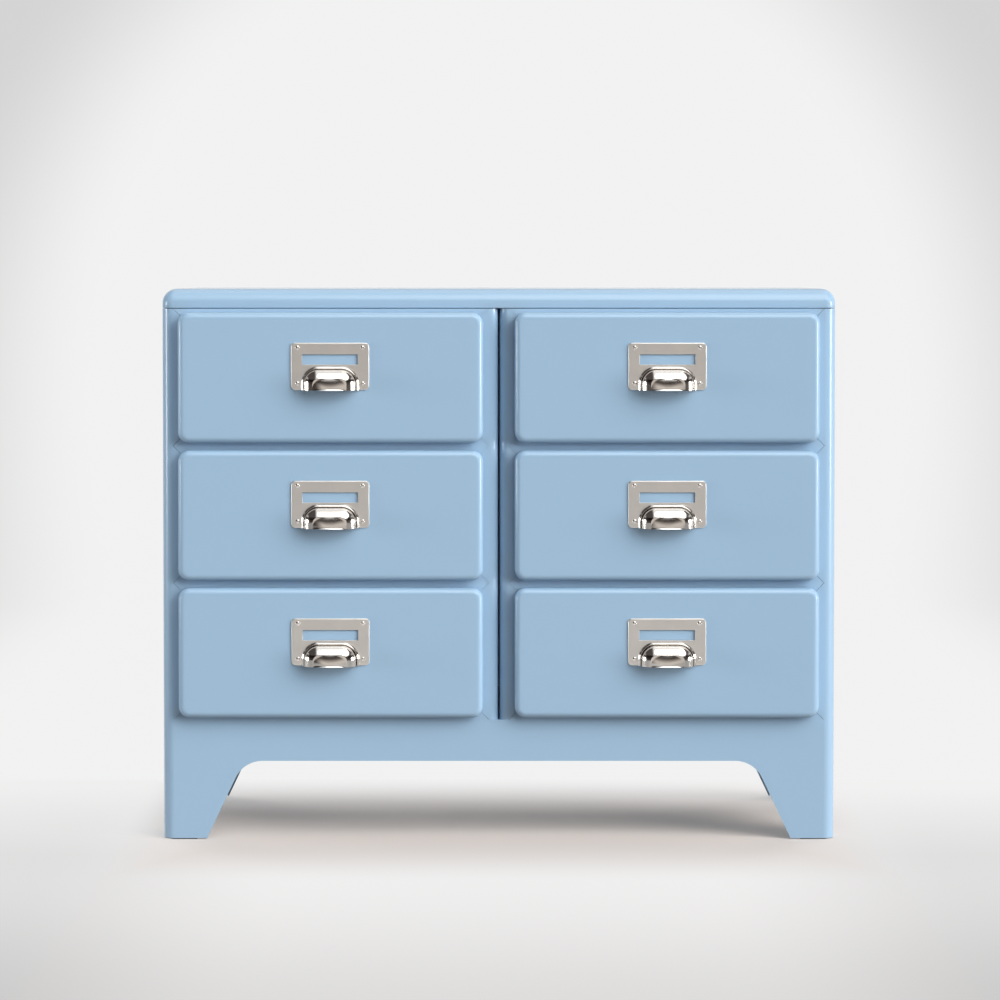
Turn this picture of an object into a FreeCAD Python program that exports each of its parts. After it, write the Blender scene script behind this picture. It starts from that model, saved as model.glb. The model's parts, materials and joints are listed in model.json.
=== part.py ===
import FreeCAD, Part
import math
import os
import re
import Sketcher

# Six-drawer steel chest in two columns on a common base.
# +X is the viewer's right, the drawers face -Y, +Z is up, lengths are millimetres.
# The origin is on the floor, at the middle of the chest's overall box, pulls included.

os.makedirs("parts", exist_ok=True)
doc = FreeCAD.newDocument("drawer_chest")
sheet = doc.addObject("Spreadsheet::Sheet", "Sizes")

# Driving dimensions: name, value, meaning
SIZES = [
    ("overall_width", 900, "outside width of the chest"),
    ("overall_height", 738, "floor to the top of the cap"),
    ("carcass_depth", 390, "front frame to the back panel's outer face"),
    ("base_height", 161, "floor to the top of the base"),
    ("cap_height", 26, "height of the pressed top cap"),
    ("cap_round", 19, "radius of the cap's long top edges"),
    ("sheet_gauge", 1, "thickness of the carcass sheet"),
    ("corner_round", 14.5, "radius of the chest's upright front corners"),
    ("inner_round", 12, "radius of the upright corners beside the slit"),
    ("back_return", 15, "width of the rear folds that carry the back panel"),
    ("top_return", 13, "width of the folds where cap and columns meet"),
    ("column_gap", 2, "slit between the two columns"),
    ("rail_face", 26, "height of the rail between two drawers"),
    ("rail_depth", 15, "depth of the folds behind rails and stiles"),
    ("arch_height", 105.5, "floor to the underside of the aprons"),
    ("foot_width", 58, "width of a foot at the floor"),
    ("foot_flare", 50, "how much wider a foot is at the apron's underside"),
    ("arch_round", 40, "radius where a foot meets the apron"),
    ("arch_fold", 12, "width of the fold along the arches"),
    ("apron_fold", 20, "width of the fold under the deck"),
    ("back_margin", 4, "how far the back sheets stop short of the sides"),
    ("wall_hole", 5, "diameter of the wall fixing holes"),
    ("wall_hole_drop", 20, "wall fixing holes below the cap seam"),
    ("stiffener_width", 60, "width of the hat section under the cap"),
    ("stiffener_depth", 18, "depth of the hat section under the cap"),
    ("stiffener_crown", 30, "width of the hat section's closed side"),
    ("foot_pad_lift", 1.5, "how far the foot pads hold the sheet off the floor"),
    ("foot_pad_height", 5, "height of a foot pad"),
    ("foot_plate_gauge", 2, "thickness of the plate inside each foot"),
    ("foot_piece_side", 44, "side of the pad and of the plate inside each foot"),
    ("foot_piece_cut", 12, "corner cut off the pad and the plate"),
    ("drawer_gap", 9.9, "gap between two drawer fronts"),
    ("front_drop", 0.6, "how much lower than its bay's middle a drawer front sits"),
    ("front_overlap", 5, "how far a drawer front laps over the stiles"),
    ("front_gap", 0.5, "gap between a closed drawer front and the frame"),
    ("front_depth", 19.5, "depth of the pressed drawer front"),
    ("front_corner", 15, "corner radius of a drawer front seen from the front"),
    ("front_round", 8, "radius of a drawer front's rolled edges"),
    ("front_gauge", 1, "thickness of the drawer front and its liner"),
    ("tray_gauge", 1, "thickness of the drawer tray"),
    ("tray_rear_gap", 40, "how much shorter the tray is than the carcass"),
    ("tray_height", 120, "height of the tray's sides"),
    ("tray_lift", 8, "tray floor above the lower edge of its opening"),
    ("tray_side_gap", 13.5, "tray side to the edge of the opening"),
    ("tray_bend", 2, "outside radius of the bends along the tray's floor"),
    ("tray_back_drop", 12, "how much lower the tray's back wall is than its sides"),
    ("runner_fold", 12, "width of the folds that carry the tray"),
    ("channel_height", 18, "outside height of a runner channel"),
    ("channel_gauge", 1, "thickness of a runner channel"),
    ("channel_clear", 2, "channel to tray side"),
    ("channel_setback", 0.5, "channel to the fold of the stile"),
    ("glide_length", 20, "length of the fixed nylon glides"),
    ("shoe_length", 24, "length of the nylon shoes on the tray"),
    ("running_gap", 0.3, "clearance of the sliding faces"),
    ("fit_gap", 0.2, "clearance of pieces that are let in and welded"),
    ("plate_width", 104, "width of the label plate"),
    ("plate_height", 63, "height of the label plate"),
    ("plate_thickness", 2.4, "thickness of the label plate's edge"),
    ("plate_corner", 5.5, "corner radius of the label plate"),
    ("plate_drop", 40, "label plate below the top of the drawer front"),
    ("plate_skin", 1, "thickness left in front of the card recess"),
    ("window_width", 74, "width of the label window"),
    ("window_height", 13.7, "height of the label window"),
    ("window_drop", 15.5, "label window below the top of the plate"),
    ("card_lap", 4, "how far the card recess reaches beyond the window"),
    ("cup_width", 78, "width of the cup's rim"),
    ("cup_height", 32, "height of the cup's rim"),
    ("cup_depth", 24, "how far the cup stands out of the plate"),
    ("cup_rim", 4.5, "width of the rim outside the dome"),
    ("cup_rim_depth", 3.2, "how far the rim stands out of the plate"),
    ("cup_shoulder", 24, "radius of the rim's two shoulders"),
    ("cup_round", 11, "radius of the dome's front edges"),
    ("cup_wall", 1.6, "thickness of the cup"),
    ("rivet_head", 5.6, "diameter of the rivet heads"),
    ("rivet_rise", 1.2, "height of the rivet heads"),
    ("rivet_bevel", 0.7, "bevel on the rivet heads"),
    ("rivet_side", 8.5, "rivets in from the sides of the plate"),
    ("rivet_top", 6.5, "upper rivets below the top of the plate"),
    ("rivet_bottom", 8.5, "lower rivets above the bottom of the plate"),
]
RIVET_SIDES = 12
DRAWER_ROWS = ["lower", "middle", "upper"]
COLUMNS = {"left": -1, "right": 1}

for row, (alias, number, meaning) in enumerate(SIZES, start=1):
    sheet.set(f"A{row}", meaning)
    sheet.set(f"B{row}", str(number))
    sheet.setAlias(f"B{row}", alias)
doc.recompute()

# Places and lengths that follow from the driving dimensions
DERIVED = {
    "half_width": "overall_width / 2",
    "pull_face": "front_gap + front_depth",
    "stand_out": "pull_face + plate_thickness + cup_depth",
    "frame_y": "(stand_out - carcass_depth) / 2",
    "middle_y": "frame_y + carcass_depth / 2",
    "wall_depth": "carcass_depth - sheet_gauge",
    "seam_z": "overall_height - cap_height",
    "pitch": f"(seam_z - base_height) / {len(DRAWER_ROWS)}",
    "rail_half": "rail_face / 2",
    "column_width": "half_width - column_gap / 2",
    "column_x": "(half_width - corner_round + column_gap / 2 + inner_round) / 2",
    "tip_half": "(column_width - corner_round - inner_round) / 2",
    "opening_half": "tip_half - rail_half",
    "arch_slope": "foot_flare / arch_height",
    "fold_shift": "sheet_gauge * sqrt(1 + arch_slope ^ 2)",
    "front_half": "opening_half + front_overlap",
    "front_low": "drawer_gap / 2 - front_drop",
    "front_top": "pitch - drawer_gap / 2 - front_drop",
    "liner_depth": "front_depth - front_round - fit_gap",
    "tray_length": "carcass_depth - tray_rear_gap",
    "tray_half": "opening_half - tray_side_gap",
    "tray_floor": "rail_half + tray_lift",
    "tray_top": "tray_floor + tray_height",
    "fold_tip": "tray_half + runner_fold",
    "channel_low": "tray_top - tray_gauge / 2 - channel_height / 2",
    "channel_top": "channel_low + channel_height",
    "channel_in": "tray_half + channel_clear",
    "channel_out": "opening_half + sheet_gauge + channel_gauge",
    "channel_front": "rail_depth + channel_setback",
    "plate_top": "front_top - plate_drop",
    "plate_low": "plate_top - plate_height",
    "cup_face": "pull_face + plate_thickness",
    "deck_half": "half_width - sheet_gauge - fit_gap",
    "deck_depth": "carcass_depth - 3 * sheet_gauge - fit_gap",
}
ALIASES = {alias for alias, number, meaning in SIZES}


def formula(text):
    """The same formula with every name replaced by its cell or by what it follows from."""
    def swap(match):
        word = match.group(0)
        if word in ALIASES:
            return f"Sizes.{word}"
        if word in DERIVED:
            return f"({formula(DERIVED[word])})"
        return word
    return re.sub(r"[A-Za-z_]+[A-Za-z_0-9]*", swap, str(text))


def value(text):
    """The present value of a formula."""
    return float(sheet.evalExpression(formula(text)))


def bind(item, field, text):
    """Tie one property to a formula."""
    item.setExpression(field, formula(text))


PARTS = []


def new_part(label, x="0", y="0", z="0"):
    """An empty body whose own origin stands at the given place."""
    body = doc.addObject("PartDesign::Body", label)
    body.Label = label
    body.AllowCompound = True
    for axis, place in zip("xyz", (x, y, z)):
        bind(body, f"Placement.Base.{axis}", place)
    PARTS.append(body)
    return body


def datum(body, role):
    """One of the body's own origin planes or axes."""
    return next(item for item in body.Origin.OriginFeatures if item.Role == role)


def new_sketch(body, plane, offset="0"):
    """A sketch on an origin plane, moved along the plane's normal (-Y for the XZ plane)."""
    sketch = body.newObject("Sketcher::SketchObject", f"{body.Name}_sketch")
    sketch.AttachmentSupport = [(datum(body, f"{plane}_Plane"), "")]
    sketch.MapMode = "FlatFace"
    bind(sketch, "AttachmentOffset.Base.z", offset)
    return sketch


def pin_point(sketch, item, point, x, y):
    """Hold one point of a sketch at two formulas."""
    for kind, text in (("DistanceX", x), ("DistanceY", y)):
        index = sketch.addConstraint(
            Sketcher.Constraint(kind, -1, 1, item, point, value(text)))
        bind(sketch, f"Constraints[{index}]", text)


def outline(sketch, *corners):
    """A closed outline of straight runs; a corner with a third formula is rounded to it."""
    count = len(corners)
    spots = [FreeCAD.Vector(value(c[0]), value(c[1]), 0) for c in corners]
    radii = [value(c[2]) if len(c) > 2 else 0 for c in corners]
    runs = [(spots[(i + 1) % count] - spots[i]).normalize() for i in range(count)]
    starts, ends = [], []
    for i in range(count):
        turn = runs[i - 1].getAngle(runs[i])
        cut = radii[i] * math.tan(turn / 2)
        ends.append(spots[i] - runs[i - 1] * cut)
        starts.append(spots[i] + runs[i] * cut)
    lines = [
        sketch.addGeometry(Part.LineSegment(starts[i], ends[(i + 1) % count]), False)
        for i in range(count)
    ]
    for i, corner in enumerate(corners):
        before, after = lines[i - 1], lines[i]
        if len(corner) < 3:
            sketch.addConstraint(Sketcher.Constraint("Coincident", before, 2, after, 1))
            pin_point(sketch, after, 1, corner[0], corner[1])
            continue
        left = runs[i - 1].cross(runs[i]).z > 0
        side = FreeCAD.Vector(-runs[i - 1].y, runs[i - 1].x, 0) * (1 if left else -1)
        centre = ends[i] + side * radii[i]
        first, last = (ends[i], starts[i]) if left else (starts[i], ends[i])
        sweep = [math.atan2(p.y - centre.y, p.x - centre.x) for p in (first, last)]
        circle = Part.Circle(centre, FreeCAD.Vector(0, 0, 1), radii[i])
        arc = sketch.addGeometry(Part.ArcOfCircle(circle, *sweep), False)
        vertex = sketch.addGeometry(Part.Point(spots[i]), True)
        pin_point(sketch, vertex, 1, corner[0], corner[1])
        sketch.addConstraint(Sketcher.Constraint("PointOnObject", vertex, 1, before))
        sketch.addConstraint(Sketcher.Constraint("PointOnObject", vertex, 1, after))
        near, far = (1, 2) if left else (2, 1)
        sketch.addConstraint(Sketcher.Constraint("Tangent", before, 2, arc, near))
        sketch.addConstraint(Sketcher.Constraint("Tangent", arc, far, after, 1))
        index = sketch.addConstraint(Sketcher.Constraint("Radius", arc, radii[i]))
        bind(sketch, f"Constraints[{index}]", corner[2])


def rectangle(sketch, x_low, x_high, y_low, y_high, radius=None):
    """A rectangle between two pairs of formulas, with rounded corners if a radius is given."""
    corners = [(x_low, y_low), (x_high, y_low), (x_high, y_high), (x_low, y_high)]
    if radius:
        corners = [(x, y, radius) for x, y in corners]
    outline(sketch, *corners)


def cut_rectangle(sketch, reach, low, high, cut):
    """A rectangle about the upright axis, its corners cut off at 45 degrees."""
    right = [(f"{reach} - {cut}", low), (reach, f"{low} + {cut}"),
             (reach, f"{high} - {cut}"), (f"{reach} - {cut}", high)]
    outline(sketch, *right, *[(f"-({x})", y) for x, y in reversed(right)])


def round_off(sketch, x, y, radius, side):
    """The waste outside a rounded upper corner at (x, y); side is -1 for the left corner."""
    outline(
        sketch,
        (f"{x} - {side} * ({radius} + 1)", f"{y} + 1"),
        (f"{x} + {side}", f"{y} + 1"),
        (f"{x} + {side}", f"{y} - {radius} - 1"),
        (x, f"{y} - {radius} - 1"),
        (x, y, radius),
        (f"{x} - {side} * ({radius} + 1)", y),
    )


def circle(sketch, x, y, diameter):
    """A circle about a pinned centre."""
    centre = FreeCAD.Vector(value(x), value(y), 0)
    ring = Part.Circle(centre, FreeCAD.Vector(0, 0, 1), value(diameter) / 2)
    item = sketch.addGeometry(ring, False)
    pin_point(sketch, item, 3, x, y)
    index = sketch.addConstraint(Sketcher.Constraint("Diameter", item, value(diameter)))
    bind(sketch, f"Constraints[{index}]", diameter)


def pad(body, sketch, length, flip=False, both_ways=False):
    """Add the sketch's outline, thickened along its normal, or against it where flip is set."""
    feature = body.newObject("PartDesign::Pad", f"{body.Name}_pad")
    feature.Profile = sketch
    bind(feature, "Length", length)
    feature.Reversed = flip
    feature.Midplane = both_ways
    doc.recompute()
    return feature


def pocket(body, sketch, length=None, flip=False):
    """Cut the sketch's outline to a depth against its normal, or right through both ways."""
    before = body.Shape.Volume
    feature = body.newObject("PartDesign::Pocket", f"{body.Name}_pocket")
    feature.Profile = sketch
    if length is None:
        feature.Type = "ThroughAll"
        feature.Midplane = True
    else:
        bind(feature, "Length", length)
        feature.Reversed = flip
    doc.recompute()
    if not body.Shape.Volume < before:
        raise RuntimeError(f"{feature.Name} cuts nothing")
    return feature


def hollow(body, gauge, openings):
    """Turn the solid into a wall of the given gauge, open at the faces that openings picks."""
    solid = body.Tip
    faces = [f"Face{i}" for i, face in enumerate(solid.Shape.Faces, 1) if openings(face)]
    if not faces:
        raise RuntimeError(f"{body.Label} has no face to open")
    feature = body.newObject("PartDesign::Thickness", f"{body.Name}_wall")
    feature.Base = (solid, faces)
    feature.Reversed = True
    bind(feature, "Value", gauge)
    doc.recompute()
    return feature


def bevel(body, size, edges):
    """Chamfer the edges that the test picks on the latest solid."""
    solid = body.Tip
    names = [f"Edge{i}" for i, edge in enumerate(solid.Shape.Edges, 1) if edges(edge)]
    if not names:
        raise RuntimeError(f"{body.Label} has no edge to bevel")
    feature = body.newObject("PartDesign::Chamfer", f"{body.Name}_bevel")
    feature.Base = (solid, names)
    bind(feature, "Size", size)
    doc.recompute()
    return feature


def mirror(body, plane="YZ"):
    """Repeat the whole shape on the other side of one of the body's own planes."""
    feature = body.newObject("PartDesign::Mirrored", f"{body.Name}_mirror")
    feature.TransformMode = "Whole shape"
    feature.MirrorPlane = (datum(body, f"{plane}_Plane"), [""])
    body.Tip = feature
    doc.recompute()


def repeat(body, axis, spacing, count):
    """Repeat the whole shape along one of the body's own axes."""
    feature = body.newObject("PartDesign::LinearPattern", f"{body.Name}_row")
    feature.TransformMode = "Whole shape"
    feature.Direction = (datum(body, f"{axis}_Axis"), [""])
    feature.Mode = "Spacing"
    bind(feature, "Offset", spacing)
    feature.Occurrences = count
    body.Tip = feature
    doc.recompute()


def at(axis, low, high=None):
    """A test for shapes of a body that lie in a plane across an axis, or between two of them."""
    high = low if high is None else high
    bounds = value(low) - 0.01, value(high) + 0.01

    def test(shape):
        box = shape.BoundBox
        return getattr(box, f"{axis}Min") > bounds[0] and getattr(box, f"{axis}Max") < bounds[1]
    return test


# Column walls: side panels and partitions folded from one sheet each


def column_wall(label, face_x, inward, floor_z, corner):
    """Rounded front corner, stile with a fold, wall, rear fold and top fold, in one sheet."""
    body = new_part(label, face_x, "frame_y")
    stile = f"({corner} + rail_half)"

    def across(distance):
        return f"{inward} * ({distance})"

    section = new_sketch(body, "XY", floor_z)
    outline(
        section,
        (across(stile), "0"),
        ("0", "0", corner),
        ("0", "wall_depth"),
        (across("back_return"), "wall_depth"),
        (across("back_return"), "wall_depth - sheet_gauge"),
        (across("sheet_gauge"), "wall_depth - sheet_gauge"),
        (across("sheet_gauge"), "sheet_gauge", f"{corner} - sheet_gauge"),
        (across(f"{stile} - sheet_gauge"), "sheet_gauge"),
        (across(f"{stile} - sheet_gauge"), "rail_depth"),
        (across(stile), "rail_depth"),
    )
    pad(body, section, f"seam_z - {floor_z}")
    top_fold = new_sketch(body, "XY", "seam_z - sheet_gauge")
    rectangle(top_fold, across("sheet_gauge / 2"), across("top_return"),
              corner, "wall_depth - sheet_gauge / 2")
    pad(body, top_fold, "sheet_gauge")

    mitres = new_sketch(body, "XZ", "1")
    edge = across(f"{stile} + 1")
    tip = across(corner)
    past_tip = across(f"{corner} - 1")
    for level in range(1, len(DRAWER_ROWS)):
        rail_z = f"base_height + {level} * pitch"
        outline(mitres, (tip, rail_z), (edge, f"{rail_z} - rail_half - 1"),
                (edge, f"{rail_z} + rail_half + 1"))
    outline(mitres, (past_tip, "seam_z + 1"), (edge, "seam_z - rail_half - 1"),
            (edge, "seam_z + 1"))
    if floor_z == "base_height":
        outline(mitres, (past_tip, "base_height - 1"), (edge, "base_height - 1"),
                (edge, "base_height + rail_half + 1"))
    else:
        outline(mitres, (tip, "0"), (edge, "0"),
                (edge, "base_height + rail_half + 1"), (tip, "base_height"))
    pocket(body, mitres, "rail_depth + 2")
    return body


def arch_line(span):
    """The arch between two feet over a span, from one foot's toe to the other's."""
    return [
        ("foot_width + foot_pad_lift * arch_slope", "foot_pad_lift"),
        ("foot_width + foot_flare", "arch_height", "arch_round"),
        (f"{span} - foot_width - foot_flare", "arch_height", "arch_round"),
        (f"{span} - foot_width - foot_pad_lift * arch_slope", "foot_pad_lift"),
    ]


def arch_fold_line(span):
    """The same arch, one gauge further into the sheet, back from foot to foot."""
    toe = "foot_width + foot_pad_lift * arch_slope - fold_shift"
    crown = "foot_width + (arch_height + sheet_gauge) * arch_slope - fold_shift"
    return [
        (f"{span} - ({toe})", "foot_pad_lift"),
        (f"{span} - ({crown})", "arch_height + sheet_gauge", "arch_round + sheet_gauge"),
        (crown, "arch_height + sheet_gauge", "arch_round + sheet_gauge"),
        (toe, "foot_pad_lift"),
    ]


def side_panel(label, side):
    """A column wall that reaches the floor, with its own arch between front and rear foot."""
    body = column_wall(label, f"{side} * half_width", -side, "foot_pad_lift", "corner_round")
    arch = new_sketch(body, "YZ")
    span = "carcass_depth"
    low = arch_line(span)
    outline(arch, ("foot_width", "0"), low[1], low[2], (f"{span} - foot_width", "0"))
    pocket(body, arch)
    fold = new_sketch(body, "YZ")
    outline(fold, *arch_line(span), *arch_fold_line(span))
    pad(body, fold, "arch_fold", flip=side > 0)


def apron(label, face_y, margin, inward):
    """A pair of feet joined by an apron, with folds along the arch and under the deck."""
    body = new_part(label, "-half_width", face_y)
    span = "overall_width"
    face = new_sketch(body, "XZ")
    outline(
        face,
        (margin, "base_height"),
        (margin, "foot_pad_lift"),
        *arch_line(span),
        (f"{span} - {margin}", "foot_pad_lift"),
        (f"{span} - {margin}", "base_height"),
    )
    inwards = inward > 0
    pad(body, face, "sheet_gauge", flip=inwards)
    fold = new_sketch(body, "XZ")
    outline(fold, *arch_line(span), *arch_fold_line(span))
    pad(body, fold, "arch_fold", flip=inwards)
    shelf = new_sketch(body, "XZ")
    rectangle(shelf, "back_return + 1", f"{span} - back_return - 1",
              "base_height - 2 * sheet_gauge", "base_height - sheet_gauge")
    pad(body, shelf, "apron_fold", flip=inwards)


def base_deck():
    """The sheet that closes the base and carries both columns."""
    body = new_part("base_deck", "0", "frame_y + sheet_gauge", "base_height - sheet_gauge")
    sheet_line = new_sketch(body, "XY")
    radius = "corner_round - sheet_gauge - fit_gap"
    outline(
        sheet_line,
        ("-deck_half", "0", radius),
        ("deck_half", "0", radius),
        ("deck_half", "deck_depth"),
        ("-deck_half", "deck_depth"),
    )
    pad(body, sheet_line, "sheet_gauge")


def back_panel():
    """The sheet on the rear folds, with two holes for fixing the chest to a wall."""
    body = new_part("back_panel", "0", "frame_y + wall_depth")
    face = new_sketch(body, "XZ")
    edge = "half_width - back_margin"
    rectangle(face, f"-({edge})", edge, "base_height + fit_gap", "seam_z - fit_gap")
    for side in COLUMNS.values():
        circle(face, f"{side} * column_x", "seam_z - wall_hole_drop", "wall_hole")
    pad(body, face, "sheet_gauge", flip=True)


def frame_rails(label, side):
    """The column's four rails, whose 45 degree ends fill the notches of the stiles."""
    body = new_part(label, f"{side} * column_x", "frame_y", "base_height")
    faces = new_sketch(body, "XZ")
    folds = new_sketch(body, "XZ")
    top = f"{len(DRAWER_ROWS)} * pitch"
    outline(faces, ("-tip_half", "0"), ("tip_half", "0"), ("opening_half", "rail_half"),
            ("-opening_half", "rail_half"))
    outline(faces, ("-tip_half", top), ("-opening_half", f"{top} - rail_half"),
            ("opening_half", f"{top} - rail_half"), ("tip_half", top))
    edges = ["0", "rail_half - sheet_gauge", f"{top} - rail_half", f"{top} - sheet_gauge"]
    for level in range(1, len(DRAWER_ROWS)):
        z = f"{level} * pitch"
        outline(faces, ("-tip_half", z), ("-opening_half", f"{z} - rail_half"),
                ("opening_half", f"{z} - rail_half"), ("tip_half", z),
                ("opening_half", f"{z} + rail_half"), ("-opening_half", f"{z} + rail_half"))
        edges += [f"{z} - rail_half", f"{z} + rail_half - sheet_gauge"]
    pad(body, faces, "sheet_gauge", flip=True)
    for low in edges:
        rectangle(folds, "-opening_half", "opening_half", low, f"{low} + sheet_gauge")
    pad(body, folds, "rail_depth", flip=True)


# Top cap and the hat section that stiffens it


def top_cap():
    """A pressed lid: rounded in plan, long top edges rolled over, open below, lower edge folded."""
    body = new_part("top_cap", "0", "middle_y", "seam_z")
    plan = new_sketch(body, "XY")
    half_depth = "carcass_depth / 2"
    rectangle(plan, "-half_width", "half_width", f"-{half_depth}", half_depth, "corner_round")
    pad(body, plan, "cap_height")
    for plane, reach in (("XZ", "half_width"), ("YZ", half_depth)):
        rolled = new_sketch(body, plane)
        for side in (-1, 1):
            round_off(rolled, f"{side} * {reach}", "cap_height", "cap_round", side)
        pocket(body, rolled)
    hollow(body, "sheet_gauge", at("Z", "0"))
    fold = new_sketch(body, "XY")
    for inset in ("sheet_gauge / 2", "top_return"):
        across = f"half_width - {inset}"
        along = f"{half_depth} - {inset}"
        radius = f"corner_round - {inset}" if inset != "top_return" else None
        rectangle(fold, f"-({across})", across, f"-({along})", along, radius)
    pad(body, fold, "sheet_gauge")


def top_stiffener():
    """A hat section under the cap, its brim against the sheet."""
    body = new_part("top_stiffener", "0", "middle_y", "overall_height - sheet_gauge")
    section = new_sketch(body, "YZ")
    brim = "stiffener_width / 2"
    wall = "stiffener_crown / 2"
    inner = f"{wall} - sheet_gauge"
    corners = [
        (brim, "0"),
        (brim, "-sheet_gauge"),
        (wall, "-sheet_gauge"),
        (wall, "-stiffener_depth"),
    ]
    inside = [
        (inner, "sheet_gauge - stiffener_depth"),
        (inner, "0"),
    ]
    outline(
        section,
        *corners,
        *[(f"-({x})", z) for x, z in reversed(corners)],
        *[(f"-({x})", z) for x, z in reversed(inside)],
        *inside,
    )
    pad(body, section, "overall_width - 2 * cap_round - 2 * sheet_gauge", both_ways=True)


# Runner channels with their fixed nylon glides


def runner_channels(label, side):
    """Three pairs of channels, open towards the tray, welded to the stile folds and the back."""
    body = new_part(label, f"{side} * column_x", "frame_y", "base_height")
    section = new_sketch(body, "XZ", "-channel_front")
    outline(
        section,
        ("channel_in", "channel_low"),
        ("channel_out", "channel_low"),
        ("channel_out", "channel_top"),
        ("channel_in", "channel_top"),
        ("channel_in", "channel_top - channel_gauge"),
        ("channel_out - channel_gauge", "channel_top - channel_gauge"),
        ("channel_out - channel_gauge", "channel_low + channel_gauge"),
        ("channel_in", "channel_low + channel_gauge"),
    )
    pad(body, section, "wall_depth - channel_front", flip=True)
    end = new_sketch(body, "XZ", "-wall_depth")
    rectangle(end, "channel_in", "channel_out", "channel_low", "channel_top")
    pad(body, end, "channel_gauge")
    tongue = new_sketch(body, "XZ", "-2 * sheet_gauge")
    rectangle(tongue, "channel_out - channel_gauge", "channel_out",
              "channel_low + 2 * channel_gauge", "channel_top - 2 * channel_gauge")
    pad(body, tongue, "channel_front", flip=True)
    mirror(body)
    repeat(body, "Z", "pitch", len(DRAWER_ROWS))


def runner_glides(label, side):
    """A nylon block in each channel's mouth, slotted for the tray's fold."""
    body = new_part(label, f"{side} * column_x", "frame_y", "base_height")
    block = new_sketch(body, "XZ", "-channel_front")
    back = "channel_out - channel_gauge"
    outline(
        block,
        ("channel_in", "channel_low + channel_gauge"),
        (back, "channel_low + channel_gauge"),
        (back, "channel_top - channel_gauge"),
        ("channel_in", "channel_top - channel_gauge"),
        ("channel_in", "tray_top + running_gap"),
        ("fold_tip + running_gap", "tray_top + running_gap"),
        ("fold_tip + running_gap", "tray_top - tray_gauge - running_gap"),
        ("channel_in", "tray_top - tray_gauge - running_gap"),
    )
    pad(body, block, "glide_length", flip=True)
    mirror(body)
    repeat(body, "Z", "pitch", len(DRAWER_ROWS))


# Foot plates and pads, worked out for one corner and mirrored to the other three


def foot_piece(label, low, height):
    """A square piece let into each foot, cut off inside the rounded corner."""
    body = new_part(label, "0", "middle_y", low)
    plan = new_sketch(body, "XY")
    left = "-half_width + sheet_gauge + fit_gap"
    front = "-carcass_depth / 2 + 2 * sheet_gauge + fit_gap"
    outline(
        plan,
        (left, f"{front} + foot_piece_cut"),
        (f"{left} + foot_piece_cut", front),
        (f"{left} + foot_piece_side", front),
        (f"{left} + foot_piece_side", f"{front} + foot_piece_side"),
        (left, f"{front} + foot_piece_side"),
    )
    pad(body, plan, height)
    mirror(body, "YZ")
    mirror(body, "XZ")


# One drawer: pressed front, liner, folded tray, shoes, label plate, cup and rivets


def drawer_front(label, place):
    """A pressed pan with rounded corners and rolled edges, open at the back."""
    body = new_part(label, *place)
    face = new_sketch(body, "XZ", "front_gap")
    rectangle(face, "-front_half", "front_half", "front_low", "front_top", "front_corner")
    pad(body, face, "front_depth")
    cavity = new_sketch(body, "XZ", "front_gap")
    cut_rectangle(cavity, "(front_half - front_gauge)", "(front_low + front_gauge)",
                  "(front_top - front_gauge)", "(front_corner - front_gauge)")
    pocket(body, cavity, "front_depth - front_gauge", flip=True)
    bevel(body, "front_round - front_gauge", at("Y", "front_gauge - pull_face"))
    middle = "(front_low + front_top) / 2"
    across = new_sketch(body, "XY")
    upright = new_sketch(body, "YZ")
    for side in (-1, 1):
        outline(
            across,
            (f"{side} * (front_half + 1)", "front_round + 1 - pull_face"),
            (f"{side} * (front_half + 1)", "-pull_face - 1"),
            (f"{side} * (front_half - front_round - 1)", "-pull_face - 1"),
            (f"{side} * (front_half - front_round - 1)", "-pull_face"),
            (f"{side} * front_half", "-pull_face", "front_round"),
            (f"{side} * front_half", "front_round + 1 - pull_face"),
        )
        rim = f"{middle} + {side} * (front_top - front_low) / 2"
        outline(
            upright,
            ("front_round + 1 - pull_face", f"{rim} + {side}"),
            ("-pull_face - 1", f"{rim} + {side}"),
            ("-pull_face - 1", f"{rim} - {side} * (front_round + 1)"),
            ("-pull_face", f"{rim} - {side} * (front_round + 1)"),
            ("-pull_face", rim, "front_round"),
            ("front_round + 1 - pull_face", rim),
        )
    pocket(body, across)
    pocket(body, upright)


def drawer_liner(label, place):
    """A flat sheet with four folds that closes the drawer front and carries the tray."""
    body = new_part(label, *place)
    inset = "(front_gauge + fit_gap)"
    reach = f"(front_half - {inset})"
    low = f"(front_low + {inset})"
    high = f"(front_top - {inset})"
    face = new_sketch(body, "XZ", "front_gap")
    cut_rectangle(face, reach, low, high, "front_corner")
    pad(body, face, "front_gauge")
    folds = new_sketch(body, "XZ", "front_gap + front_gauge")
    for side in (-1, 1):
        rectangle(folds, f"{side} * ({reach} - front_gauge)", f"{side} * {reach}",
                  f"{low} + front_corner", f"{high} - front_corner")
    for edge, inner in ((low, f"{low} + front_gauge"), (f"{high} - front_gauge", high)):
        rectangle(folds, f"front_corner - {reach}", f"{reach} - front_corner", edge, inner)
    pad(body, folds, "liner_depth - front_gauge")


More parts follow.
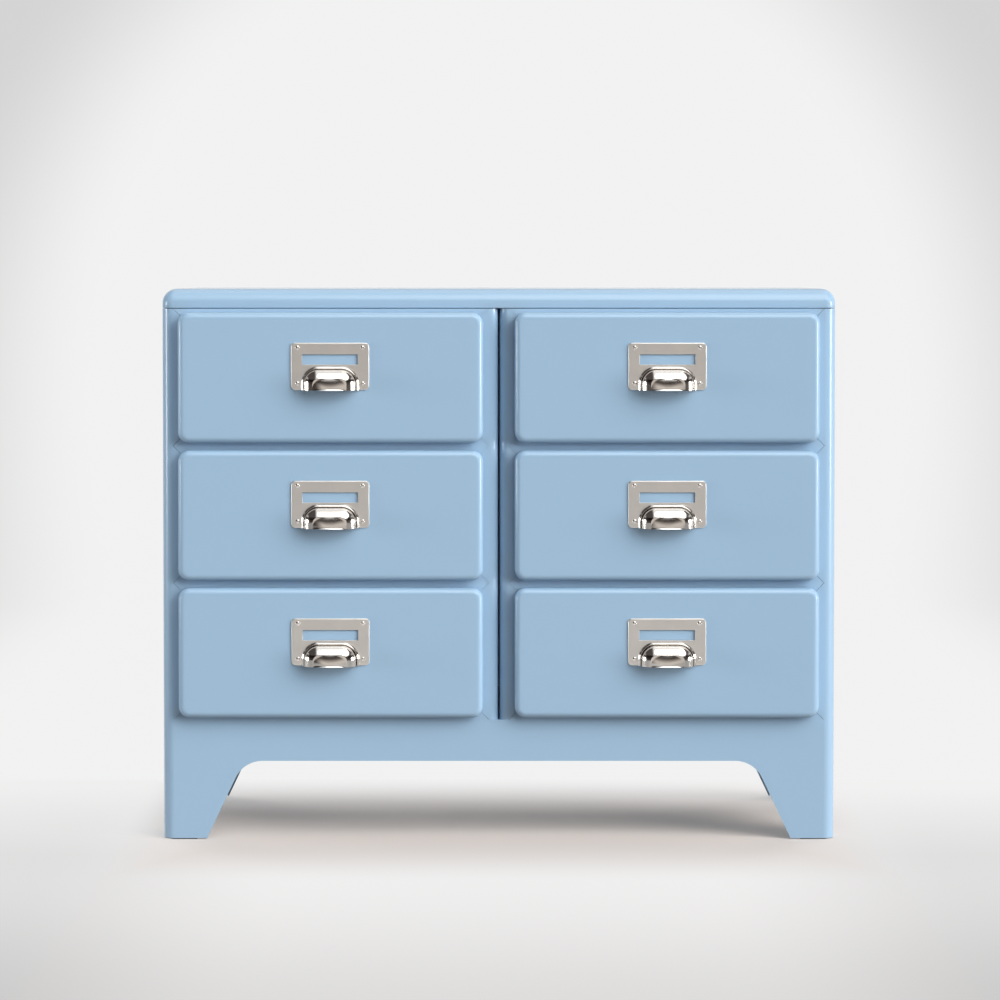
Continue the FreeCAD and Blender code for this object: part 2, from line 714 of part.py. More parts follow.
def drawer_tray(label, place):
    """Floor, sides and runner folds in one folded sheet, with two end walls."""
    body = new_part(label, *place)
    section = new_sketch(body, "XZ", "front_gap")
    outer, inner = "tray_half", "tray_half - tray_gauge"
    right = [
        (inner, "tray_floor + tray_gauge", "tray_bend - tray_gauge"),
        (inner, "tray_top"),
        ("fold_tip", "tray_top"),
        ("fold_tip", "tray_top - tray_gauge"),
        (outer, "tray_top - tray_gauge"),
        (outer, "tray_floor", "tray_bend"),
    ]
    left = [(f"-({x})", *rest) for x, *rest in reversed(right)]
    outline(section, *right, *left)
    pad(body, section, "tray_length", flip=True)
    wall = "tray_half - tray_gauge / 2"
    for offset, drop in (("front_gap", "0"), ("front_gap - tray_length + tray_gauge",
                                              "tray_back_drop")):
        end = new_sketch(body, "XZ", offset)
        rectangle(end, f"-({wall})", wall, "tray_floor + tray_gauge / 2",
                  f"tray_top - 2 * tray_gauge - {drop}")
        pad(body, end, "tray_gauge", flip=True)


def runner_shoes(label, place):
    """Nylon shoes on the rear ends of the tray's folds, which run inside the channels."""
    body = new_part(label, *place)
    shoe = new_sketch(body, "XZ", "front_gap - tray_length + shoe_length")
    low = "channel_low + channel_gauge + running_gap"
    high = "channel_top - channel_gauge - running_gap"
    back = "channel_out - channel_gauge - running_gap"
    outline(
        shoe,
        ("channel_in", low),
        (back, low),
        (back, high),
        ("channel_in", high),
        ("channel_in", "tray_top"),
        ("fold_tip", "tray_top"),
        ("fold_tip", "tray_top - tray_gauge"),
        ("channel_in", "tray_top - tray_gauge"),
    )
    pad(body, shoe, "shoe_length", flip=True)
    mirror(body)


def label_plate(label, place):
    """A plate with rounded corners, a label window and a card recess behind it."""
    body = new_part(label, *place)
    face = new_sketch(body, "XZ", "pull_face")
    rectangle(face, "-plate_width / 2", "plate_width / 2", "plate_low", "plate_top",
              "plate_corner")
    rectangle(face, "-window_width / 2", "window_width / 2",
              "plate_top - window_drop - window_height", "plate_top - window_drop")
    pad(body, face, "plate_thickness")
    recess = new_sketch(body, "XZ", "pull_face")
    rectangle(recess, "-(window_width / 2 + card_lap)", "window_width / 2 + card_lap",
              "plate_top - window_drop - window_height - card_lap",
              "plate_top - window_drop + card_lap")
    pocket(body, recess, "plate_thickness - plate_skin", flip=True)


def cup_arch(inset):
    """The cup's arch with its round shoulders, drawn in by an inset, from foot to foot."""
    across = f"cup_width / 2 - ({inset})"
    crown = f"plate_low + cup_height - ({inset})"
    shoulder = f"cup_shoulder - ({inset})"
    return [
        (across, "plate_low"),
        (across, crown, shoulder),
        (f"-({across})", crown, shoulder),
        (f"-({across})", "plate_low"),
    ]


def cup_pull(label, place):
    """A hollow dome with a flat rim, open below for the fingers."""
    body = new_part(label, *place)
    dome = new_sketch(body, "XZ", "cup_face")
    outline(dome, *cup_arch("cup_rim"))
    pad(body, dome, "cup_depth")
    inset = "(cup_rim + cup_wall)"
    cavity = new_sketch(body, "XZ", "cup_face")
    cut_rectangle(cavity, f"(cup_width / 2 - {inset})", "(plate_low - cup_shoulder)",
                  f"(plate_low + cup_height - {inset})", f"(cup_shoulder - {inset})")
    pocket(body, cavity, "cup_depth - cup_wall", flip=True)
    floor = at("Y", "cup_wall - cup_face - cup_depth")
    foot = at("Z", "plate_low")
    bevel(body, "cup_round - cup_wall", lambda edge: floor(edge) and not foot(edge))
    nose = "(cup_face + cup_depth)"
    reach = "(cup_width / 2 - cup_rim)"
    crown = "(plate_low + cup_height - cup_rim)"
    across = new_sketch(body, "XY")
    for side in (-1, 1):
        outline(
            across,
            (f"{side} * ({reach} + 1)", f"cup_round + 1 - {nose}"),
            (f"{side} * ({reach} + 1)", f"-{nose} - 1"),
            (f"{side} * ({reach} - cup_round - 1)", f"-{nose} - 1"),
            (f"{side} * ({reach} - cup_round - 1)", f"-{nose}"),
            (f"{side} * {reach}", f"-{nose}", "cup_round"),
            (f"{side} * {reach}", f"cup_round + 1 - {nose}"),
        )
    pocket(body, across)
    upright = new_sketch(body, "YZ")
    outline(
        upright,
        (f"cup_round + 1 - {nose}", f"{crown} + 1"),
        (f"-{nose} - 1", f"{crown} + 1"),
        (f"-{nose} - 1", f"{crown} - cup_round - 1"),
        (f"-{nose}", f"{crown} - cup_round - 1"),
        (f"-{nose}", crown, "cup_round"),
        (f"cup_round + 1 - {nose}", crown),
    )
    pocket(body, upright)
    rim = new_sketch(body, "XZ", "cup_face")
    outline(rim, *cup_arch("0"), *reversed(cup_arch("cup_rim + cup_wall / 2")))
    pad(body, rim, "cup_rim_depth")

def pull_rivets(label, x, y, z):
    """Four low rivet heads on the corners of the plate."""
    body = new_part(label, f"{x} - plate_width / 2 + rivet_side", f"{y} - cup_face",
                    f"{z} + plate_low + rivet_bottom")
    head = body.newObject("PartDesign::AdditivePrism", "rivet_head")
    head.AttachmentSupport = [(datum(body, "XZ_Plane"), "")]
    head.MapMode = "FlatFace"
    head.Polygon = RIVET_SIDES
    bind(head, "Circumradius", "rivet_head / 2")
    bind(head, "Height", "rivet_rise")
    doc.recompute()
    bevel(body, "rivet_bevel", at("Y", "-rivet_rise"))
    repeat(body, "X", "plate_width - 2 * rivet_side", 2)
    repeat(body, "Z", "plate_height - rivet_top - rivet_bottom", 2)


# The carcass

top_cap()
top_stiffener()
for column, side in COLUMNS.items():
    side_panel(f"{column}_side_panel", side)
    column_wall(f"{column}_partition", f"{side} * column_gap / 2", side, "base_height",
                "inner_round")
    frame_rails(f"{column}_frame_rails", side)
    runner_channels(f"{column}_runner_channels", side)
    runner_glides(f"{column}_runner_glides", side)
apron("front_apron", "frame_y", "corner_round", 1)
apron("rear_apron", "frame_y + carcass_depth", "back_margin", -1)
base_deck()
back_panel()
foot_piece("foot_pads", "0", "foot_pad_height")
foot_piece("foot_plates", "foot_pad_height", "foot_plate_gauge")

# The six drawers

for column, side in COLUMNS.items():
    for level, row_name in enumerate(DRAWER_ROWS):
        name = f"{row_name}_{column}"
        place = (f"{side} * column_x", "frame_y", f"base_height + {level} * pitch")
        drawer_front(f"{name}_drawer_front", place)
        drawer_liner(f"{name}_drawer_liner", place)
        drawer_tray(f"{name}_drawer_tray", place)
        runner_shoes(f"{name}_runner_shoes", place)
        label_plate(f"{name}_label_plate", place)
        cup_pull(f"{name}_cup_pull", place)
        pull_rivets(f"{name}_pull_rivets", *place)

# Every feature must be sound before anything is written

doc.recompute()
for item in doc.Objects:
    faults = {"Invalid", "Error"} & set(item.State)
    if faults:
        raise RuntimeError(f"{item.Label} is {faults}")
for body in PARTS:
    if body.Shape.isNull() or not body.Shape.isValid() or not body.Shape.Solids:
        raise RuntimeError(f"{body.Label} is not a sound solid")
for body in PARTS:
    body.Shape.exportStep(f"parts/{body.Label}.step")
print(len(PARTS), "parts written")
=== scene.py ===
"""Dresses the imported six-drawer steel chest: folded sheets, nickel pulls, paint and studio."""
import json
import math

import bmesh
import bpy
import numpy as np
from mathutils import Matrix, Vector


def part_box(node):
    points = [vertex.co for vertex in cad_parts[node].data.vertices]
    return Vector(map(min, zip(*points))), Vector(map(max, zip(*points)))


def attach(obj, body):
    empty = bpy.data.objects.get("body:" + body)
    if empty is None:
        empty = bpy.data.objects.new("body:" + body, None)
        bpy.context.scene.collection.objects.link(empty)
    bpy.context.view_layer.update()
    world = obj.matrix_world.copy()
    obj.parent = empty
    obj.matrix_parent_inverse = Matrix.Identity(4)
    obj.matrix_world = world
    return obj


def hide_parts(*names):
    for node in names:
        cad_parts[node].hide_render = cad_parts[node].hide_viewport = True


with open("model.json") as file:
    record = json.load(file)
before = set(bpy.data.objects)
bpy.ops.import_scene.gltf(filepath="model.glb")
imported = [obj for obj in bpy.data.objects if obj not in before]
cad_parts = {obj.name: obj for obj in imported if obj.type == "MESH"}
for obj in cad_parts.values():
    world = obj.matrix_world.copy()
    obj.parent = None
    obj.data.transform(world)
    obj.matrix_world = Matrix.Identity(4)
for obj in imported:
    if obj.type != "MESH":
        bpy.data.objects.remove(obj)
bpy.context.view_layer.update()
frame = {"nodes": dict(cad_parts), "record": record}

bl_info = {
    "name": "Steel Drawer Chest",
    "version": (1, 0, 0),
    "blender": (4, 5, 0),
    "location": "3D View > Sidebar > Chest",
    "description": "Finishes a two-column steel drawer chest over its solid model",
    "category": "Object",
}

ROWS = ("lower", "middle", "upper")
SIDES = {"left": -1, "right": 1}
DRAWERS = [f"{row}_{side}" for side in SIDES for row in ROWS]
CARCASS = "carcass"


def box_of(node):
    """Low and high corner of a solid of the frame, as arrays."""
    return tuple(np.array(corner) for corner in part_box(node))


# Places read from the frame
CAP_LOW, CAP_HIGH = box_of("top_cap")
RAILS_LOW, RAILS_HIGH = box_of("right_frame_rails")
FRAME_Y, WALL_BACK = (corner[1] for corner in box_of("left_side_panel"))
FLOOR_GAP, BASE_Z = (corner[2] for corner in box_of("front_apron"))
HALF_WIDTH = CAP_HIGH[0]
SEAM_Z = CAP_LOW[2]
SLIT_HALF = -box_of("left_partition")[1][0]
PITCH = (SEAM_Z - BASE_Z) / len(ROWS)
COLUMN_X = (RAILS_LOW[0] + RAILS_HIGH[0]) / 2
TIP_HALF = (RAILS_HIGH[0] - RAILS_LOW[0]) / 2
OUTER_CORNER = HALF_WIDTH - RAILS_HIGH[0]
INNER_CORNER = RAILS_LOW[0] - SLIT_HALF

# Small sizes that no user needs to change
LIP_BEND = 0.0012        # radius where a stile or a rail folds back
HEM_STEP = 0.0004        # step at the rear edge of a drawer front
STRIP = 0.0006           # flat strip beside the rounded edges of a plate
WINDOW_SOFT = 0.00035    # radius of the window's front edge
WINDOW_CORNER = 0.0004   # corner radius of the window and the card recess
BAY_STEPS = 8            # grid steps up the height of one drawer


# Sizes and colours that a user may change


def length(name, description, default):
    """A length property in metres."""
    return bpy.props.FloatProperty(name=name, description=description, default=default,
                                   min=0.0, precision=5, unit="LENGTH")


def share(name, description, default):
    """A property between nothing and one."""
    return bpy.props.FloatProperty(name=name, description=description, default=default,
                                   min=0.0, max=1.0, subtype="FACTOR")


def colour(name, description, default):
    """A colour property."""
    return bpy.props.FloatVectorProperty(name=name, description=description, default=default,
                                         size=3, min=0.0, max=1.0, subtype="COLOR")


class ChestSizes(bpy.types.PropertyGroup):
    gauge: length("Sheet", "Thickness of the sheet", 0.001)
    back_bend: length("Back bend", "Radius of the rear folds", 0.0025)
    back_fold: length("Back fold", "Width of the rear folds", 0.015)
    rail_half: length("Rail", "Half the height of a rail", 0.013)
    rail_depth: length("Rail depth", "Depth of the folds behind rails and stiles", 0.015)
    seam: length("Seam", "Width of the open mitre seams", 0.0004)
    arch_height: length("Arch", "Floor to the underside of the aprons", 0.1055)
    foot_width: length("Foot", "Width of a foot on the floor", 0.058)
    foot_flare: length("Flare", "How much wider a foot is at the apron", 0.050)
    arch_round: length("Arch radius", "Radius where a foot meets the apron", 0.040)
    arch_fold: length("Arch fold", "Width of the fold along the arches", 0.012)
    cap_gap: length("Cap gap", "Open seam between cap and columns", 0.0006)
    cap_round: length("Cap roll", "Radius of the cap's top edges", 0.019)
    cap_hem: length("Cap hem", "Radius of the cap's lower edge", 0.0012)
    front_corner: length("Front corner", "Corner radius of the drawer fronts", 0.015)
    front_round: length("Front roll", "Radius of the drawer fronts' edges", 0.008)
    plate_corner: length("Plate corner", "Corner radius of the label plates", 0.0055)
    plate_edge: length("Plate edge", "Radius of the label plates' edges", 0.0014)
    window_width: length("Window width", "Width of the label window", 0.074)
    window_height: length("Window height", "Height of the label window", 0.0137)
    window_drop: length("Window drop", "Window below the top of the plate", 0.0155)
    card_lap: length("Card lap", "How far the card recess passes the window", 0.004)
    plate_skin: length("Plate skin", "Thickness in front of the card recess", 0.001)
    cup_rim: length("Cup rim", "Width of the cup's rim", 0.0045)
    cup_bulge: length("Cup bulge", "How far the cup's face swells out", 0.0021)
    cup_shoulder: length("Cup shoulder", "Radius of the rim's shoulders", 0.024)
    cup_roll: length("Cup roll", "Width of the roll between rim and face", 0.0115)
    cup_wall: length("Cup wall", "Thickness of the cup", 0.0012)
    cup_lip: length("Cup lip", "How far the cup's lower lip flares", 0.0009)
    rivet_radius: length("Rivet", "Radius of the rivet heads", 0.0030)


class ChestFinishes(bpy.types.PropertyGroup):
    paint: colour("Paint", "Powder coat", (0.335, 0.502, 0.675))
    paint_roughness: share("Paint roughness", "Roughness of the coat", 0.34)
    peel: share("Orange peel", "Depth of the coat's fine waves", 0.22)
    nickel: colour("Nickel", "Plating of pulls and plates", (0.80, 0.765, 0.725))
    plate_roughness: share("Plate roughness", "Roughness of the label plates", 0.34)
    cup_roughness: share("Cup roughness", "Roughness of the cups and rivets", 0.09)
    zinc: colour("Zinc", "Plating of the runner channels", (0.62, 0.64, 0.66))
    nylon: colour("Nylon", "Shoes and glides", (0.82, 0.81, 0.76))
    pad: colour("Pads", "Foot pads", (0.03, 0.03, 0.032))
    floor: colour("Floor", "Studio floor and backdrop", (0.80, 0.715, 0.66))


def sizes():
    """The sizes of the current scene."""
    return bpy.context.scene.chest_sizes


def finishes():
    """The finishes of the current scene."""
    return bpy.context.scene.chest_finishes


# Meshes from grids of points


def grid_faces(rows, columns, wrap_rows=False, wrap_columns=False):
    """Quads over a grid of points numbered row by row, closed round either way if asked."""
    index = np.arange(rows * columns).reshape(rows, columns)
    if wrap_rows:
        index = np.concatenate([index, index[:1]], axis=0)
    if wrap_columns:
        index = np.concatenate([index, index[:, :1]], axis=1)
    corners = index[:-1, :-1], index[1:, :-1], index[1:, 1:], index[:-1, 1:]
    return np.stack(corners, axis=-1).reshape(-1, 4)


def grid_of(x, y, z):
    """A grid of points from coordinates that spread over one another."""
    return np.stack(np.broadcast_arrays(x, y, z), axis=-1)


def facing(points, direction):
    """The grid, with its columns turned round where its quads on the whole face the other way."""
    across = points[1:, :-1] - points[:-1, :-1]
    along = points[:-1, 1:] - points[:-1, :-1]
    normal = np.cross(across, along).reshape(-1, 3).sum(axis=0)
    return points if normal @ np.asarray(direction, float) > 0 else points[:, ::-1]


def new_piece(name, vertices, faces, material, body, replaced=()):
    """A smooth-shaded piece with its place in its mesh, riding on a body of the frame."""
    mesh = bpy.data.meshes.new(name)
    mesh.from_pydata(np.asarray(vertices).reshape(-1, 3).tolist(), [],
                     [list(face) for face in faces])
    mesh.update()
    mesh.materials.append(material)
    piece = bpy.data.objects.new(name, mesh)
    bpy.context.collection.objects.link(piece)
    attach(piece, body)
    if replaced:
        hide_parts(*replaced)
    return piece


def merge_and_smooth(piece, distance=1e-6, angle=32.0, closed=False):
    """Turns the faces of a closed piece outwards, joins points that lie together, and shades
    smoothly across edges flatter than the angle."""
    work = bmesh.new()
    work.from_mesh(piece.data)
    if closed:
        bmesh.ops.recalc_face_normals(work, faces=work.faces)
    bmesh.ops.remove_doubles(work, verts=work.verts, dist=distance)
    limit = math.radians(angle)
    for edge in work.edges:
        edge.smooth = len(edge.link_faces) == 2 and edge.calc_face_angle(math.pi) < limit
    for face in work.faces:
        face.smooth = True
    work.to_mesh(piece.data)
    work.free()


def joined_grids(name, grids, replaced):
    """A painted sheet of the carcass from grids that share edges, with its gauge behind them."""
    vertices, faces, count = [], [], 0
    for points in grids:
        vertices.append(points.reshape(-1, 3))
        faces.append(grid_faces(*points.shape[:2]) + count)
        count += len(vertices[-1])
    piece = new_piece(name, np.concatenate(vertices), np.concatenate(faces), paint_material(),
                      CARCASS, (replaced,))
    merge_and_smooth(piece, 2e-5)
    wall = piece.modifiers.new("sheet", "SOLIDIFY")
    wall.thickness = sizes().gauge
    wall.offset = -1.0
    wall.use_even_offset = True


def closed_shell(name, rings, body, replaced):
    """A painted closed piece from a run of rings, with a flat face on the first and the last."""
    levels, count = rings.shape[:2]
    faces = grid_faces(levels, count, wrap_columns=True).tolist()
    faces.append(list(range(count)))
    faces.append(list(range((levels - 1) * count, levels * count))[::-1])
    piece = new_piece(name, rings, faces, paint_material(), body, (replaced,))
    merge_and_smooth(piece, closed=True)


def arc(count, start=0.0, end=math.pi / 2):
    """Angles from start to end."""
    return np.linspace(start, end, count)


def rounded_rings(centres, halves, radii, levels, per_corner=9):
    """Rounded rectangles, one per level: four quarter circles joined by straight sides.

    A ring's corner is its radius times (cos a, sin a) about a point that lies the radius in
    from both sides. Each argument holds one row or value per ring.
    """
    turn = np.concatenate([arc(per_corner) + quarter * math.pi / 2 for quarter in range(4)])
    sign_x = np.repeat([1.0, -1.0, -1.0, 1.0], per_corner)
    sign_y = np.repeat([1.0, 1.0, -1.0, -1.0], per_corner)
    centres, halves = np.atleast_2d(centres), np.atleast_2d(halves)
    radii = np.asarray(radii, float)[:, None]
    x = centres[:, :1] + sign_x * (halves[:, :1] - radii) + radii * np.cos(turn)
    y = centres[:, 1:] + sign_y * (halves[:, 1:] - radii) + radii * np.sin(turn)
    return grid_of(x, y, np.asarray(levels, float)[:, None])


def upright(points):
    """Swaps the second and third coordinates, so a level becomes a depth along Y."""
    return points[..., [0, 2, 1]]


# Materials: effects used by more than one material are node groups


def feed(tree, socket, item):
    """Links an output to a socket, or sets the socket to a plain value."""
    if isinstance(item, bpy.types.NodeSocket):
        tree.links.new(item, socket)
    else:
        socket.default_value = item


def group_tree(name, inputs):
    """An empty group with a vector, the given inputs, and colour, roughness and height out."""
    tree = bpy.data.node_groups.new(name, "ShaderNodeTree")
    tree.interface.new_socket("Vector", in_out="INPUT", socket_type="NodeSocketVector")
    for label, kind, default in inputs:
        socket = tree.interface.new_socket(label, in_out="INPUT", socket_type=kind)
        socket.default_value = default
    for label, kind in (("Colour", "NodeSocketColor"), ("Roughness", "NodeSocketFloat"),
                        ("Height", "NodeSocketFloat")):
        tree.interface.new_socket(label, in_out="OUTPUT", socket_type=kind)
    return tree, tree.nodes.new("NodeGroupInput"), tree.nodes.new("NodeGroupOutput")


def close_group(tree, source, sink, shade, rough, height):
    """Multiplies the group's colour by a shade, and feeds its three outputs."""
    tint = tree.nodes.new("ShaderNodeHueSaturation")
    tree.links.new(source.outputs["Colour"], tint.inputs["Color"])
    tree.links.new(shade, tint.inputs["Value"])
    tree.links.new(tint.outputs["Color"], sink.inputs["Colour"])
    tree.links.new(rough, sink.inputs["Roughness"])
    tree.links.new(height, sink.inputs["Height"])
    return tree


def noise_node(tree, vector, scale, detail=3.0, roughness=0.5):
    """A noise texture on a vector."""
    node = tree.nodes.new("ShaderNodeTexNoise")
    node.inputs["Scale"].default_value = scale
    node.inputs["Detail"].default_value = detail
    node.inputs["Roughness"].default_value = roughness
    tree.links.new(vector, node.inputs["Vector"])
    return node.outputs["Fac"]


def ramp_node(tree, value, low, high, out_low=0.0, out_high=1.0, soft=False):
    """A ramp from one range to another, held at its ends, straight or with soft ends."""
    node = tree.nodes.new("ShaderNodeMapRange")
    node.interpolation_type = "SMOOTHSTEP" if soft else "LINEAR"
    tree.links.new(value, node.inputs["Value"])
    for label, number in {"From Min": low, "From Max": high, "To Min": out_low,
                          "To Max": out_high}.items():
        node.inputs[label].default_value = number
    return node.outputs["Result"]


def math_node(tree, operation, first, second):
    """A math node on two numbers or sockets."""
    node = tree.nodes.new("ShaderNodeMath")
    node.operation = operation
    feed(tree, node.inputs[0], first)
    feed(tree, node.inputs[1], second)
    return node.outputs["Value"]


def vector_node(tree, operation, first, second):
    """The outputs of a vector math node on two vectors or sockets."""
    node = tree.nodes.new("ShaderNodeVectorMath")
    node.operation = operation
    feed(tree, node.inputs[0], first)
    feed(tree, node.inputs[1], second)
    return node.outputs


def mix_node(tree, share_of_second, first, second):
    """A mix of two colours or sockets."""
    node = tree.nodes.new("ShaderNodeMix")
    node.data_type = "RGBA"
    feed(tree, node.inputs[0], share_of_second)
    feed(tree, node.inputs[6], first)
    feed(tree, node.inputs[7], second)
    return node.outputs[2]


def axes_node(tree, space):
    """The vector of a texture space, and the node that splits it into X, Y and Z."""
    place = tree.nodes.new("ShaderNodeTexCoord")
    split = tree.nodes.new("ShaderNodeSeparateXYZ")
    tree.links.new(place.outputs[space], split.inputs["Vector"])
    return place.outputs[space], split.outputs


def tone_ramp(tree, value, stops):
    """A colour ramp through the given positions and colours."""
    node = tree.nodes.new("ShaderNodeValToRGB")
    ramp = node.color_ramp
    for number, (position, shade) in enumerate(stops):
        stop = ramp.elements[number] if number < 2 else ramp.elements.new(position)
        stop.position = position
        stop.color = (*shade, 1.0)
    tree.links.new(value, node.inputs["Fac"])
    return node.outputs["Color"]


def coat_group():
    """Powder coat: fine orange peel, slow sheet waviness, faint mottling and specks."""
    name = "powder_coat"
    if name in bpy.data.node_groups:
        return bpy.data.node_groups[name]
    tree, source, sink = group_tree(name, [
        ("Peel", "NodeSocketFloat", 0.3), ("Colour", "NodeSocketColor", (0.3, 0.5, 0.7, 1.0)),
        ("Roughness", "NodeSocketFloat", 0.4)])
    vector = source.outputs["Vector"]
    peel = noise_node(tree, vector, 520.0, 2.0)
    wave = noise_node(tree, vector, 7.0, 1.0)
    mottle = noise_node(tree, vector, 34.0, 4.0, 0.6)
    speck = noise_node(tree, vector, 1500.0, 1.0)
    fine = math_node(tree, "MULTIPLY", peel, source.outputs["Peel"])
    height = math_node(tree, "ADD", fine, math_node(tree, "MULTIPLY", wave, 0.15))
    shade = math_node(tree, "ADD", ramp_node(tree, mottle, 0.3, 0.7, 0.996, 1.004),
                      ramp_node(tree, speck, 0.35, 0.65, -0.008, 0.008))
    rough = math_node(tree, "ADD", source.outputs["Roughness"],
                      ramp_node(tree, mottle, 0.3, 0.7, -0.01, 0.01))
    return close_group(tree, source, sink, shade, rough, height)


def brush_group():
    """Brushed metal: streaks drawn out along X, and smudges."""
    name = "brushed_metal"
    if name in bpy.data.node_groups:
        return bpy.data.node_groups[name]
    tree, source, sink = group_tree(name, [
        ("Colour", "NodeSocketColor", (0.7, 0.7, 0.7, 1.0)),
        ("Roughness", "NodeSocketFloat", 0.3), ("Grain", "NodeSocketFloat", 0.5)])
    stretch = tree.nodes.new("ShaderNodeMapping")
    stretch.inputs["Scale"].default_value = (18.0, 900.0, 900.0)
    tree.links.new(source.outputs["Vector"], stretch.inputs["Vector"])
    streak = noise_node(tree, stretch.outputs["Vector"], 1.0, 3.0, 0.6)
    smudge = noise_node(tree, source.outputs["Vector"], 55.0, 3.0)
    grain = math_node(tree, "MULTIPLY", streak, source.outputs["Grain"])
    rough = math_node(tree, "ADD", source.outputs["Roughness"],
                      math_node(tree, "ADD", ramp_node(tree, grain, 0.1, 0.6, 0.0, 0.06),
                                ramp_node(tree, smudge, 0.35, 0.7, 0.0, 0.05)))
    shade = ramp_node(tree, smudge, 0.3, 0.7, 1.02, 0.96)
    return close_group(tree, source, sink, shade, rough, grain)


def textured_material(name, group, shade, roughness, own, metallic=0.0, coat=0.0, bump=0.3,
                      distance=0.0002):
    """A material whose colour, roughness and bump come from a group read on Object coordinates.

    The value of own goes to the group's own input, which is the peel or the grain.
    """
    if name in bpy.data.materials:
        return bpy.data.materials[name]
    material = bpy.data.materials.new(name)
    material.use_nodes = True
    tree = material.node_tree
    shader = tree.nodes["Principled BSDF"]
    for label, value in {"Metallic": metallic, "Coat Weight": coat, "Coat Roughness": 0.16,
                         "Coat IOR": 1.45, "Specular IOR Level": 0.35}.items():
        shader.inputs[label].default_value = value
    place = tree.nodes.new("ShaderNodeTexCoord")
    effect = tree.nodes.new("ShaderNodeGroup")
    effect.node_tree = group()
    effect.inputs["Colour"].default_value = (*shade, 1.0)
    effect.inputs["Roughness"].default_value = roughness
    effect.inputs["Peel" if group is coat_group else "Grain"].default_value = own
    relief = tree.nodes.new("ShaderNodeBump")
    relief.inputs["Strength"].default_value = bump
    relief.inputs["Distance"].default_value = distance
    tree.links.new(place.outputs["Object"], effect.inputs["Vector"])
    tree.links.new(effect.outputs["Colour"], shader.inputs["Base Color"])
    tree.links.new(effect.outputs["Roughness"], shader.inputs["Roughness"])
    tree.links.new(effect.outputs["Height"], relief.inputs["Height"])
    tree.links.new(relief.outputs["Normal"], shader.inputs["Normal"])
    return material


def paint_material():
    """Pale blue powder coat."""
    look = finishes()
    return textured_material("powder_coat_blue", coat_group, look.paint, look.paint_roughness,
                             look.peel, coat=1.0)


def plate_material():
    """Satin nickel, brushed along the plate."""
    look = finishes()
    return textured_material("satin_nickel", brush_group, look.nickel, look.plate_roughness,
                             0.6, metallic=1.0, bump=0.06, distance=0.00005)


def cup_material():
    """Polished nickel for cups and rivets."""
    look = finishes()
    return textured_material("polished_nickel", brush_group, look.nickel, look.cup_roughness,
                             0.25, metallic=1.0, bump=0.03, distance=0.00003)


def zinc_material():
    """Zinc plating of the channels and foot plates."""
    return textured_material("zinc_plating", brush_group, finishes().zinc, 0.38,
                             0.8, metallic=1.0, bump=0.12, distance=0.0001)


def nylon_material():
    """Off-white moulded nylon."""
    return textured_material("moulded_nylon", coat_group, finishes().nylon, 0.48,
                             0.15, bump=0.15)


def pad_material():
    """Black moulded foot pads."""
    return textured_material("pad_plastic", coat_group, finishes().pad, 0.6,
                             0.5, distance=0.0003)


# Carcass pieces


def arch_turn():
    """The tilt of a foot's leg, and the distances where its bend starts and ends.

    The bend is a circle of the arch radius that touches the leg and the level top.
    """
    size = sizes()
    tilt = math.atan2(size.arch_height, size.foot_flare)
    cut = size.arch_round * math.tan(tilt / 2)
    crown = size.foot_width + size.foot_flare
    return tilt, crown - cut * math.cos(tilt), crown + cut


def arch_height_at(distance, span):
    """Height of the lower edge of a sheet at a distance along its span.

    The leg is a straight line from the foot's width on the floor to the width plus the flare,
    the top is level, and the bend lies between them. The foot's sole is held off the floor.
    """
    size = sizes()
    near = np.minimum(distance, span - distance)
    _, touch, centre = arch_turn()
    leg = (near - size.foot_width) * size.arch_height / size.foot_flare
    bend = size.arch_height - size.arch_round + np.sqrt(
        np.maximum(size.arch_round ** 2 - (near - centre) ** 2, 0))
    height = np.where(near < touch, leg, np.where(near < centre, bend, size.arch_height))
    return np.maximum(height, FLOOR_GAP)


def arch_stations(span, start, end):
    """Distances along a span, close together where the arch bends, and on its turning points."""
    size = sizes()
    tilt, touch, centre = arch_turn()
    toe = size.foot_width + FLOOR_GAP * size.foot_flare / size.arch_height
    bend = centre - size.arch_round * np.sin(arc(17, 0.0, tilt))
    half = np.concatenate([
        np.linspace(start, toe, 5), np.linspace(toe, touch, 12), bend[::-1],
        np.linspace(centre, span / 2, 7),
    ])
    full = np.concatenate([half, span - half])
    return np.unique(np.round(full[(full >= start - 1e-9) & (full <= end + 1e-9)], 7))


def between_feet(line, span):
    """The stations of a line that lie on the arch, clear of the feet's soles."""
    foot = sizes().foot_width
    return line[(line >= foot) & (line <= span - foot)]


def lip_profile(start, edge, flat_points):
    """A face that ends in a fold, as distances along it and behind it.

    The face runs flat from its start, turns a quarter circle just before its edge and goes
    straight back by the depth of the rails.
    """
    turn = arc(5)[1:]
    along = np.concatenate([np.linspace(start, edge - LIP_BEND, flat_points),
                            edge - LIP_BEND + LIP_BEND * np.sin(turn), [edge]])
    behind = np.concatenate([np.zeros(flat_points), LIP_BEND * (1 - np.cos(turn)),
                             [sizes().rail_depth]])
    return along, behind


